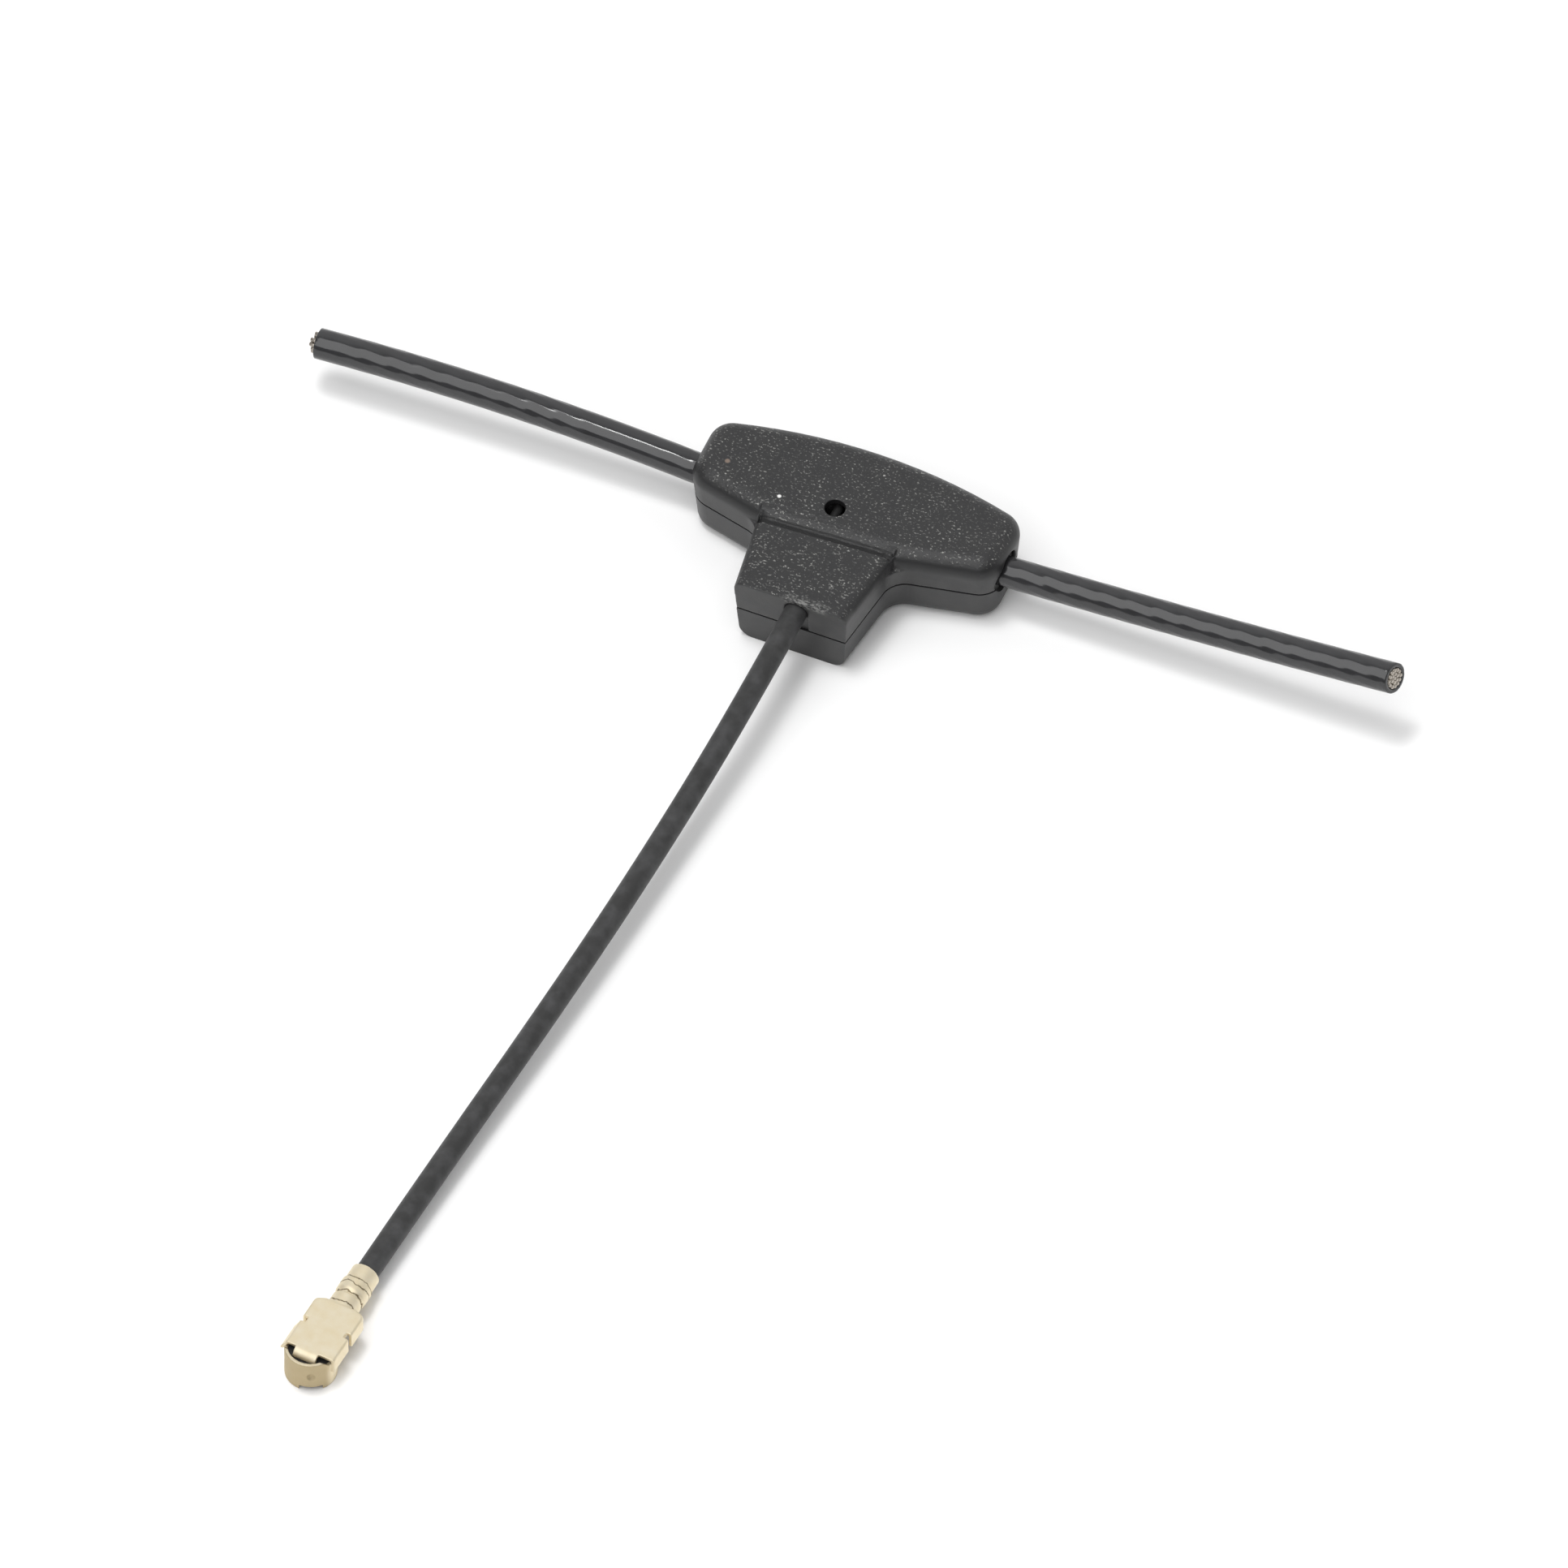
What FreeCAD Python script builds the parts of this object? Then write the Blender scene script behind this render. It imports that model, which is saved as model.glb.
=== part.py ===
import FreeCAD
import Part

import math
import os

from FreeCAD import Vector

# A T-shaped receiver antenna: two wire arms and a thin coaxial feed cable meet in a small moulded housing,
# and the cable ends in a miniature push-on coaxial plug that lies with its mating side down.
# Millimetres. The origin is on the base plane under the crossbar's middle, +X runs along the right arm,
# the cable leaves towards -Y, and +Z is up.

# Housing, crossbar of the T
bar_length = 15.8
bar_height = 4.2
bar_end_back = 2.1
bar_end_front = 1.5
bar_middle_back = 3.28
bar_middle_front = 2.5
bar_corner_radius = 1.2
bar_top_radius = 0.9
cap_share = 1.1

# Housing, stem of the T
stem_offset = -0.35
stem_back_width = 6.9
stem_front_width = 5.7
stem_reach = 6.8
stem_height = 4.15
stem_edge_radius = 0.55
stem_root_radius = 1.2

# Housing, common
wall_draft = 4.0
seam_height = 2.1
base_edge_radius = 0.7
seam_line_width = 0.07
seam_line_depth = 0.12
root_groove_setback = 0.5
root_groove_width = 0.3
root_groove_depth = 0.45
top_hole_diameter = 1.0
top_hole_offset = Vector(-0.55, -0.94, 0)
fit_clearance = 0.02

# Pocket round the feed point
pocket_length = 5.8
pocket_depth = 2.6
pocket_floor = 1.45
pocket_headroom = 0.1
lead_channel_width = 1.9

# Arms
arm_height = 2.45
left_arm_reach = 27.3
right_arm_reach = 27.65
arm_diameter = 1.5
arm_recess_diameter = 2.1
arm_recess_depth = 0.35
insulation_inner_end = 2.6
conductor_inner_end = 0.85
conductor_diameter = 1.04
conductor_overhang = 0.25
arm_exit_bend_radius = 6.0
left_arm_exit_rise = 4.9
left_arm_tip_rise = -3.0
left_arm_bow_roll = 17.0
right_arm_exit_rise = 3.5
right_arm_tip_rise = 6.3
right_arm_bow_roll = 0.0
right_arm_cut_angle = 19.0
right_arm_cut_roll = 54.0

# Feed cable
cable_diameter = 1.13
cable_exit_height = 3.35
cable_exit_offset = -0.05
cable_strip_reach = 4.4
saddle_drop = 0.4
braid_diameter = 0.94
braid_length = 1.2
braid_tail_diameter = 0.45
dielectric_diameter = 0.68
dielectric_bare_end = 1.7
core_diameter = 0.24
lead_overlap = 2.2
core_bend_radius = 0.45
solder_length = 1.6
solder_cover = 0.08
solder_rounding = 0.4

# Plug, in a frame of its own: the ring's axis is z, the cable comes from +Y, the floor is z = 0
plug_position = Vector(-4.2, -54.8, 0)
plug_turn = -5.0
plug_cable_height = 1.13
plug_run_start = 10.5
ring_diameter = 2.5
ring_height = 1.5
sheet = 0.17
ring_gap_width = 1.2
ring_mark_turn = 28.0
ring_slot_width = 1.1
ring_slot_height = 0.25
ring_dimple_radius = 0.25
ring_dimple_height = 1.0
plate_width = 2.6
plate_offset = 0.12
plate_top = 1.9
plate_front = 0.35
plate_back = 2.65
shoulder_inset = 0.5
shoulder_length = 0.2
shoulder_radius = 0.3
plate_bend_radius = 0.15
tongue_width = 1.2
tongue_reach = 0.4
wall_bottom = 1.0
wall_notch_position = 1.1
wall_notch_length = 0.3
wing_bottom = 1.25
wing_splay = 0.28
strut_bottom = 0.6
shield_crimp_length = 0.85
shield_crimp_wall = 0.26
jacket_crimp_length = 0.85
jacket_crimp_wall = 0.2
crimp_throat_length = 0.5
crimp_neck_length = 0.15
crimp_neck_drop = 0.07
crimp_lip_length = 0.85
insulator_height = 0.6
insulator_tail_width = 1.0
insulator_tail_reach = 1.95
contact_diameter = 0.7
contact_bore = 0.4
contact_bore_depth = 0.5
contact_bottom = 0.12

# Route of the feed cable from its strip point in the stem until it comes into line with the plug
cable_route = [
    Vector(cable_exit_offset, -cable_strip_reach, cable_exit_height),
    Vector(cable_exit_offset, -10.2, cable_exit_height),
    Vector(-0.67, -18.6, 2.15),
    Vector(-1.57, -29.49, 1.7),
]

# Share of the shorter run beside a corner of the route that its arc takes up
arc_share = 0.45

# How near an edge lies to its corner or face, and the least share of a block's height it stands for
corner_search = 0.5
edge_search = 0.01
standing_share = 0.9

# Sizes worked out from the ones above
shoulder_height = bar_height - cap_share * bar_top_radius
lead_channel_roof = cable_exit_height + braid_diameter / 2 + 2 * fit_clearance
pocket_roof = cable_exit_height + braid_tail_diameter / 2 + solder_cover + pocket_headroom
draft_slope = math.tan(math.radians(wall_draft))
up = Vector(0, 0, 1)
plug_placement = FreeCAD.Placement(plug_position, FreeCAD.Rotation(up, plug_turn))


def polygon(points):
    """Closed wire through points."""
    return Part.makePolygon(points + [points[0]])


def box(low, high):
    """Box between two corners."""
    size = high - low
    return Part.makeBox(size.x, size.y, size.z, low)


def set_in(corners, distance):
    """Corners of a closed outline, moved so that every side lies a distance further in.

    The corners run clockwise, seen from above."""
    moved = []
    for before, corner, after in zip(corners[-1:] + corners, corners, corners[1:] + corners[:1]):
        coming = (corner - before).normalize()
        going = (after - corner).normalize()
        first = Vector(coming.y, -coming.x, 0)
        second = Vector(going.y, -going.x, 0)
        moved.append(corner + (first + second) * (distance / (1 + first.dot(second))))
    return moved


def drafted_block(corners, rise):
    """Solid from a flat outline up or down by rise, its walls leaning out on the way up by the draft."""
    far = [corner + up * rise for corner in set_in(corners, -rise * draft_slope)]
    low, high = (corners, far) if rise > 0 else (far, corners)
    sides = zip(low, high, high[1:] + high[:1], low[1:] + low[:1])
    outlines = [low, high[::-1]] + [list(side) for side in sides]
    return Part.Solid(Part.Shell([Part.Face(polygon(outline)) for outline in outlines]))


def standing_edges(shape, height, corners):
    """Edges from the bottom to the top of a block of this height, near one of the corners in plan."""

    def stands(edge):
        centre = edge.BoundBox.Center
        near = any(math.hypot(centre.x - c.x, centre.y - c.y) < corner_search for c in corners)
        return near and edge.BoundBox.ZLength > standing_share * height

    return [edge for edge in shape.Edges if stands(edge)]


def rod(start, end, diameter):
    """Round bar between two points."""
    return Part.makeCylinder(diameter / 2, (end - start).Length, start, end - start)


def swept(section, path):
    """Solid that carries a closed section along a smooth path."""
    return path.makePipeShell([section], True, False)


def round_section(path, diameter):
    """Circle at the start of a path, square to it."""
    first = path.Edges[0]
    start = first.valueAt(first.FirstParameter)
    return Part.Wire(Part.Circle(start, first.tangentAt(first.FirstParameter), diameter / 2).toShape())


# Housing


def at_shoulder(x, y):
    """Point at the height where the housing's body ends and its caps begin."""
    return Vector(x, y, shoulder_height)


def bar_ends():
    """The crossbar's four end corners at the shoulder: right back, right front, left front, left back."""
    end = bar_length / 2
    return [
        at_shoulder(end, bar_end_back),
        at_shoulder(end, -bar_end_front),
        at_shoulder(-end, -bar_end_front),
        at_shoulder(-end, bar_end_back),
    ]


def bar_roots():
    """Where the crossbar's flanks meet the stem at the shoulder, right and left."""
    half = stem_back_width / 2
    return [at_shoulder(stem_offset + side * half, -bar_middle_front) for side in (1, -1)]


def stem_fronts():
    """The stem's front corners at the shoulder, right and left."""
    half = stem_front_width / 2
    return [at_shoulder(stem_offset + side * half, -stem_reach) for side in (1, -1)]


def bowed(front_corners, inset, rise):
    """Block whose front follows corners from right to left, with the crossbar's bowed wall at its back."""
    back_right, _, _, back_left = bar_ends()
    beyond = Vector(0, bar_length, 0)
    corners = set_in([back_right + beyond] + front_corners + [back_left + beyond], inset)
    bow_height = bar_middle_back - bar_end_back
    radius = (bar_length ** 2 / 4 + bow_height ** 2) / (2 * bow_height)
    near = radius - inset
    far = near + rise * draft_slope
    axis = at_shoulder(0, bar_middle_back - radius)
    wall = Part.makeCone(near, far, abs(rise), axis, up * rise)
    return drafted_block(corners, rise).common(wall)


def housing_body(inset=0.0):
    """T below its shoulder: drafted walls, rounded corners and a base edge that is rounded except in front.

    inset is how far its walls lie inside the housing's own."""
    _, front_right, front_left, _ = bar_ends()
    root_right, root_left = bar_roots()
    corners = [front_right, root_right] + stem_fronts() + [root_left, front_left]
    block = bowed(corners, inset, -shoulder_height)
    block = block.makeFillet(bar_corner_radius - inset, standing_edges(block, shoulder_height, bar_ends()))
    block = block.makeFillet(stem_root_radius + inset, standing_edges(block, shoulder_height, bar_roots()))
    front = inset - stem_reach + shoulder_height * draft_slope
    behind_front = front + base_edge_radius / 2
    bottom = [e for e in block.Edges if e.BoundBox.ZMax < edge_search]
    return block.makeFillet(base_edge_radius, [e for e in bottom if e.BoundBox.YMax > behind_front])


def bar_cap():
    """Crossbar above its shoulder, with its top edge rounded all round."""
    _, front_right, front_left, _ = bar_ends()
    rise = bar_height - shoulder_height
    cap = bowed([front_right] + bar_roots() + [front_left], 0.0, rise)
    cap = cap.makeFillet(bar_corner_radius, standing_edges(cap, rise, bar_ends()))
    top = [e for e in cap.Edges if e.BoundBox.ZMin > bar_height - edge_search]
    return cap.makeFillet(bar_top_radius, top)


def stem_cap():
    """Stem above its shoulder, with rounded side edges and a crisp front edge."""
    root_right, root_left = bar_roots()
    front_right, front_left = stem_fronts()
    under_bar = bar_top_radius / (stem_reach - bar_middle_front)
    back_right = root_right + (root_right - front_right) * under_bar
    back_left = root_left + (root_left - front_left) * under_bar
    cap = drafted_block([back_right, front_right, front_left, back_left], stem_height - shoulder_height)
    top = [e for e in cap.Edges if e.BoundBox.ZMin > stem_height - edge_search]
    sides = [e for e in top if e.BoundBox.YLength > e.BoundBox.XLength]
    return cap.makeFillet(stem_edge_radius, sides)


def arm_channel():
    """Room for both arms: a round bore, and a recess at each end of the crossbar."""
    end = bar_length / 2 - arm_recess_depth

    def on_axis(x):
        return Vector(x, 0, arm_height)

    bore = rod(on_axis(-bar_length), on_axis(bar_length), arm_diameter + 2 * fit_clearance)
    rooms = [bore]
    for side in (-1, 1):
        rooms.append(rod(on_axis(side * end), on_axis(side * bar_length), arm_recess_diameter))
    return rooms


def cable_tunnel():
    """Round room for the cable, from its strip point out through the stem's front."""
    start = Vector(cable_exit_offset, -cable_strip_reach, cable_exit_height)
    end = Vector(cable_exit_offset, -2 * stem_reach, cable_exit_height)
    return rod(start, end, cable_diameter + 2 * fit_clearance)


def cable_slot():
    """Way from the seam up to the cable's tunnel, which the lower half's saddle fills."""
    half = cable_diameter / 2 + fit_clearance
    return box(Vector(cable_exit_offset - half, -2 * stem_reach, seam_height),
               Vector(cable_exit_offset + half, -cable_strip_reach, cable_exit_height))


def pocket():
    """Hollow round the feed point, and the channel that the cable's bare leads run through."""
    hollow = box(Vector(-pocket_length / 2, -pocket_depth / 2, pocket_floor),
                 Vector(pocket_length / 2, pocket_depth / 2, pocket_roof))
    channel = box(Vector(cable_exit_offset - lead_channel_width / 2, -cable_strip_reach, pocket_floor),
                  Vector(cable_exit_offset + lead_channel_width / 2, 0, lead_channel_roof))
    return hollow.fuse(channel)


def housing_slice(bottom, top):
    """Block over the whole plan of the housing, between two heights."""
    return box(Vector(-bar_length, -2 * stem_reach, bottom), Vector(bar_length, bar_length, top))


def upper_shell():
    """Grained top half, down to the seam."""
    shell = housing_body().common(housing_slice(seam_height, bar_height)).fuse([bar_cap(), stem_cap()])
    groove_back = root_groove_setback - bar_middle_front
    groove_half = stem_back_width / 2
    groove_floor = stem_height - root_groove_depth
    groove = box(Vector(stem_offset - groove_half, groove_back - root_groove_width, groove_floor),
                 Vector(stem_offset + groove_half, groove_back, bar_height))
    hole_top = top_hole_offset + up * bar_height
    hole = rod(hole_top, hole_top - up * (bar_height - seam_height), top_hole_diameter)
    for room in arm_channel() + [pocket(), cable_tunnel(), cable_slot(), hole, groove]:
        shell = shell.cut(room)
    return shell


def lower_shell():
    """Smooth bottom half, with the cable's saddle and a fine line let in round the seam."""
    line_bottom = seam_height - seam_line_width
    below = housing_body().common(housing_slice(0, line_bottom))
    shell = below.fuse(housing_body(seam_line_depth).common(housing_slice(line_bottom, seam_height)))
    half = cable_diameter / 2 - fit_clearance
    front = (shoulder_height - seam_height) * draft_slope - stem_reach
    saddle = box(Vector(cable_exit_offset - half, front + seam_line_depth, pocket_floor),
                 Vector(cable_exit_offset + half, -cable_strip_reach, cable_exit_height - saddle_drop))
    shell = shell.fuse(saddle)
    for room in arm_channel() + [pocket(), cable_tunnel()]:
        shell = shell.cut(room)
    return shell


# Arms


def arm_path(arm, inner_end, reach):
    """Centre line of an arm: straight in the housing, a short bend at its end, then a long bow to the tip.

    The bow is drawn upright, and then rolled towards the front about the direction it starts in."""
    side, exit_rise, tip_rise, roll = arm

    def at(x, z):
        return Vector(side * x, 0, arm_height + z)

    exit_angle = math.radians(exit_rise)
    tip_angle = math.radians(tip_rise)
    bend_start = bar_length / 2
    bend_radius = math.copysign(arm_exit_bend_radius, exit_rise)

    def bend(angle):
        return at(bend_start + bend_radius * math.sin(angle), bend_radius * (1 - math.cos(angle)))

    bow_start = bend_start + bend_radius * math.sin(exit_angle)
    bow_rise = bend_radius * (1 - math.cos(exit_angle))
    bow_radius = (reach - bow_start) / (math.sin(tip_angle) - math.sin(exit_angle))

    def bow(angle):
        x = bow_start + bow_radius * (math.sin(angle) - math.sin(exit_angle))
        return at(x, bow_rise + bow_radius * (math.cos(exit_angle) - math.cos(angle)))

    straight = Part.LineSegment(at(inner_end, 0), at(bend_start, 0))
    first = Part.Arc(bend(0), bend(exit_angle / 2), bend(exit_angle))
    second = Part.Arc(bow(exit_angle), bow((exit_angle + tip_angle) / 2), bow(tip_angle)).toShape()
    second.rotate(bow(exit_angle), at(math.cos(exit_angle), math.sin(exit_angle)) - at(0, 0), -side * roll)
    return Part.Wire([straight.toShape(), first.toShape(), second])


def tip_trim(path):
    """Block that takes away what lies past the slanted cut at the tip of the right arm.

    The cut faces outwards, and leans to the front and up."""
    last = path.Edges[-1]
    size = 4 * arm_diameter
    block = box(Vector(0, -size, -size), Vector(size, size, size))
    block.rotate(Vector(0, 0, 0), up, -right_arm_cut_angle)
    block.rotate(Vector(0, 0, 0), Vector(1, 0, 0), -right_arm_cut_roll)
    block.translate(last.valueAt(last.LastParameter))
    return block


def arm_pieces(arm, sleeve_reach, wire_reach):
    """Sleeve and wire of one arm, with square ends.

    arm holds the side, +1 for the right and -1 for the left, the rises in degrees above level where the bow
    starts and ends, and the bow's roll."""
    bore = conductor_diameter + 2 * fit_clearance
    sleeve_path = arm_path(arm, insulation_inner_end, sleeve_reach)
    wire_path = arm_path(arm, conductor_inner_end, wire_reach)
    sleeve = swept(round_section(sleeve_path, arm_diameter), sleeve_path)
    sleeve = sleeve.cut(swept(round_section(sleeve_path, bore), sleeve_path))
    wire = swept(round_section(wire_path, conductor_diameter), wire_path)
    return sleeve, wire


def left_arm_pieces():
    """Left sleeve, cut square, and the wire that stands out of it."""
    arm = (-1, left_arm_exit_rise, left_arm_tip_rise, left_arm_bow_roll)
    return arm_pieces(arm, left_arm_reach, left_arm_reach + conductor_overhang)


def right_arm_pieces():
    """Right sleeve and wire, cut off together at a slant."""
    arm = (1, right_arm_exit_rise, right_arm_tip_rise, right_arm_bow_roll)
    past = right_arm_reach + arm_diameter
    trim = tip_trim(arm_path(arm, insulation_inner_end, right_arm_reach))
    return [piece.cut(trim) for piece in arm_pieces(arm, past, past)]


# Feed cable and its joints


def plug_point(x, y, z):
    """Point of the plug's own frame, placed where the plug lies."""
    return plug_placement.multVec(Vector(x, y, z))


def rounded_path(points):
    """Straight runs joined by tangent arcs, each as large as its two runs allow, and the arcs' radii."""
    edges = []
    radii = []
    last = points[0]
    for before, corner, after in zip(points, points[1:], points[2:]):
        into = before - corner
        out = after - corner
        turn = math.pi - into.getAngle(out)
        tangent = arc_share * min(into.Length, out.Length)
        radius = tangent / math.tan(turn / 2)
        start = corner + into.normalize() * tangent
        end = corner + out.normalize() * tangent
        bisector = (into + out).normalize()
        middle = corner + bisector * (radius / math.cos(turn / 2) - radius)
        edges.append(Part.LineSegment(last, start).toShape())
        edges.append(Part.Arc(start, middle, end).toShape())
        radii.append(radius)
        last = end
    edges.append(Part.LineSegment(last, points[-1]).toShape())
    return Part.Wire(edges), radii


def feed_cable():
    """Jacketed cable from its strip point in the stem to its strip point in the plug."""
    straight = [plug_point(0, y, plug_cable_height) for y in (plug_run_start, jacket_end())]
    path, radii = rounded_path(cable_route + straight)
    cable = swept(round_section(path, cable_diameter), path)
    section = math.pi * cable_diameter ** 2 / 4
    print("cable length %.2f mm, radii %s mm" % (path.Length, [round(r, 1) for r in radii]))
    print("cable volume over section times length %.5f" % (cable.Volume / (section * path.Length)))
    return cable


def lead_path(start_y, bend_x, bend_radius, side):
    """Bare lead at the cable's height: along the stem, then round a bend and out over an arm's wire."""
    z = cable_exit_height
    corner_y = -bend_radius
    middle = bend_radius * (1 - math.sqrt(0.5))
    run = Part.LineSegment(Vector(bend_x, start_y, z), Vector(bend_x, corner_y, z))
    bend = Part.Arc(Vector(bend_x, corner_y, z), Vector(bend_x + side * middle, -middle, z),
                    Vector(bend_x + side * bend_radius, 0, z))
    over = Part.LineSegment(Vector(bend_x + side * bend_radius, 0, z), Vector(side * lead_overlap, 0, z))
    return Part.Wire([run.toShape(), bend.toShape(), over.toShape()])


def feed_core():
    """Centre wire, bent over the right arm's wire."""
    path = lead_path(-cable_strip_reach, cable_exit_offset, core_bend_radius, 1)
    return swept(round_section(path, core_diameter), path)


def feed_dielectric():
    """Inner insulation between the jacket's end and the bare core."""
    start = Vector(cable_exit_offset, -cable_strip_reach, cable_exit_height)
    end = Vector(cable_exit_offset, -dielectric_bare_end, cable_exit_height)
    return rod(start, end, dielectric_diameter).cut(rod(start, end, core_diameter + fit_clearance))


def feed_braid():
    """Shield round the inner insulation, gathered into one tail that is bent over the left arm's wire."""
    start = Vector(cable_exit_offset, -cable_strip_reach, cable_exit_height)
    end = start + Vector(0, braid_length, 0)
    tail_x = cable_exit_offset - (dielectric_diameter + braid_tail_diameter) / 2 - fit_clearance
    path = lead_path(-cable_strip_reach, tail_x, braid_tail_diameter, -1)
    tail = swept(round_section(path, braid_tail_diameter), path)
    sleeve = rod(start, end, braid_diameter).fuse(tail).removeSplitter()
    return sleeve.cut(rod(start, end, dielectric_diameter + fit_clearance))


def solder_joint(side, lead, wire):
    """Bead of solder round an arm's wire and the lead that lies on it."""
    middle = side * (conductor_inner_end + solder_length / 2)
    lead_diameter = braid_tail_diameter if side < 0 else core_diameter
    half_width = conductor_diameter / 2 + solder_cover
    top = cable_exit_height + lead_diameter / 2 + solder_cover
    bottom = arm_height - half_width
    bead = box(Vector(middle - solder_length / 2, -half_width, bottom),
               Vector(middle + solder_length / 2, half_width, top))
    bead = bead.makeFillet(solder_rounding, bead.Edges)
    for piece in (wire, lead):
        bead = bead.cut(piece)
    return bead


# Plug


def shield_crimp_start():
    """Where the inner crimp starts, behind the plate's shoulders."""
    return plate_back + shoulder_length


def jacket_end():
    """Where the cable's jacket ends in the plug, between the two crimps."""
    return shield_crimp_start() + shield_crimp_length


def plug_ring():
    """Sprung ring with two struts back to the crimps: open at the back for the cable, marked at its front.

    The marks are a slot in the lower rim and a dimple above it, turned to the right of the plug's axis."""
    radius = ring_diameter / 2
    half_gap = ring_gap_width / 2
    ring = Part.makeCylinder(radius, ring_height)
    for side in (-1, 1):
        inner = side * half_gap
        outer = side * (half_gap + sheet)
        ring = ring.fuse(box(Vector(min(inner, outer), 0, strut_bottom),
                             Vector(max(inner, outer), shield_crimp_start(), ring_height)))
    gap = box(Vector(-half_gap, 0, 0), Vector(half_gap, ring_diameter, ring_height))
    half_slot = ring_slot_width / 2
    slot = box(Vector(-half_slot, -ring_diameter, 0), Vector(half_slot, 0, ring_slot_height))
    dimple_centre = Vector(0, -radius - ring_dimple_radius / 2, ring_dimple_height)
    dimple = Part.makeSphere(ring_dimple_radius, dimple_centre)
    for mark in (slot, dimple):
        mark.rotate(Vector(0, 0, 0), up, ring_mark_turn)
    return ring.cut([Part.makeCylinder(radius - sheet, ring_height), gap, slot, dimple])


def plug_plate():
    """Flat top with sides bent down: shoulders at the back, a notch in each side."""
    half = plate_width / 2
    throat = half - shoulder_inset
    back = shield_crimp_start()
    outline = polygon([
        Vector(-half, -plate_front, wall_bottom),
        Vector(half, -plate_front, wall_bottom),
        Vector(half, plate_back, wall_bottom),
        Vector(throat, back, wall_bottom),
        Vector(-throat, back, wall_bottom),
        Vector(-half, plate_back, wall_bottom),
    ])
    height = plate_top - wall_bottom
    block = Part.Face(outline).extrude(up * height)
    corners = [Vector(side * half, plate_back, 0) for side in (-1, 1)]
    block = block.makeFillet(shoulder_radius, standing_edges(block, height, corners))
    top = [e for e in block.Edges if e.BoundBox.ZMin > plate_top - edge_search]
    long_top = [e for e in top if e.BoundBox.YMax > edge_search - plate_front]
    block = block.makeFillet(plate_bend_radius, long_top)
    hollow = box(Vector(sheet - half, -back, 0), Vector(half - sheet, 2 * back, plate_top - sheet))
    under = box(Vector(-half, plate_back, 0), Vector(half, 2 * back, plate_top - sheet))
    notch_half = 2 * plate_bend_radius
    notch_end = wall_notch_position + wall_notch_length
    notches = []
    for x in (-half, half):
        notches.append(box(Vector(x - notch_half, wall_notch_position, 0),
                           Vector(x + notch_half, notch_end, plate_top)))
    splayed = box(Vector(-plate_width, -plate_front, 0),
                  Vector(-half + sheet, wall_notch_position, plate_top - plate_bend_radius))
    return block.cut([hollow, under, splayed] + notches)


def plug_wing():
    """Front half of the left side, splayed outwards below the bend."""
    half = plate_width / 2
    top = plate_top - plate_bend_radius
    profile = polygon([
        Vector(-half + sheet, -plate_front, top),
        Vector(-half, -plate_front, top),
        Vector(-half - wing_splay, -plate_front, wing_bottom),
        Vector(-half - wing_splay + sheet, -plate_front, wing_bottom),
    ])
    return Part.Face(profile).extrude(Vector(0, plate_front + wall_notch_position, 0))


def plug_tongue():
    """Tongue at the plate's front, bent down until it stands just clear of the ring's insulator."""
    outer = plate_top - ring_height - fit_clearance
    inner = outer - sheet
    centre = Vector(0, outer - plate_front - tongue_reach, plate_top - outer)

    def on_bend(radius, angle):
        return centre + Vector(0, -radius * math.sin(angle), radius * math.cos(angle))

    quarter = math.pi / 2
    back = Vector(0, sheet - plate_front - centre.y, 0)
    edges = [
        Part.Arc(on_bend(outer, 0), on_bend(outer, quarter / 2), on_bend(outer, quarter)).toShape(),
        Part.LineSegment(on_bend(outer, quarter), on_bend(inner, quarter)).toShape(),
        Part.Arc(on_bend(inner, quarter), on_bend(inner, quarter / 2), on_bend(inner, 0)).toShape(),
        Part.LineSegment(on_bend(inner, 0), on_bend(inner, 0) + back).toShape(),
        Part.LineSegment(on_bend(inner, 0) + back, on_bend(outer, 0) + back).toShape(),
        Part.LineSegment(on_bend(outer, 0) + back, on_bend(outer, 0)).toShape(),
    ]
    strap = Part.Face(Part.Wire(edges)).extrude(Vector(tongue_width, 0, 0))
    strap.translate(Vector(-tongue_width / 2, 0, 0))
    return strap


def plug_crimps():
    """Throat, shield crimp, jacket crimp and lip, rolled round the cable with a neck between the bands.

    The wings of the crimps overlap, so their walls are thicker than the sheet."""
    shield_bore = braid_diameter / 2 + fit_clearance
    jacket_bore = cable_diameter / 2 + fit_clearance
    shield = shield_bore + shield_crimp_wall
    jacket = jacket_bore + jacket_crimp_wall
    start = shield_crimp_start() - crimp_throat_length
    shield_start = shield_crimp_start()
    end = jacket_end()
    neck_end = end + crimp_neck_length
    tail = end + jacket_crimp_length
    outer = [
        (shield, start),
        (shield, end - crimp_neck_length),
        (shield - crimp_neck_drop, end - crimp_neck_length),
        (shield - crimp_neck_drop, end),
        (jacket, neck_end),
        (jacket, tail),
        (jacket - crimp_neck_drop, tail),
        (jacket - crimp_neck_drop, tail + crimp_lip_length),
        (jacket_bore, tail + crimp_lip_length),
        (jacket_bore, end),
        (shield_bore, end),
        (shield_bore, shield_start),
        (shield - sheet, start),
    ]
    profile = polygon([Vector(radius, y, plug_cable_height) for radius, y in outer])
    return Part.Face(profile).revolve(Vector(0, 0, plug_cable_height), Vector(0, 1, 0), 360)


def plug_shell():
    """Whole stamped shell: ring, crimps, plate, wing and tongue are one folded sheet."""
    top = [plug_plate(), plug_wing()]
    for shape in top:
        shape.translate(Vector(plate_offset, 0, 0))
    return plug_ring().fuse(top + [plug_tongue(), plug_crimps()]).removeSplitter()


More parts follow.
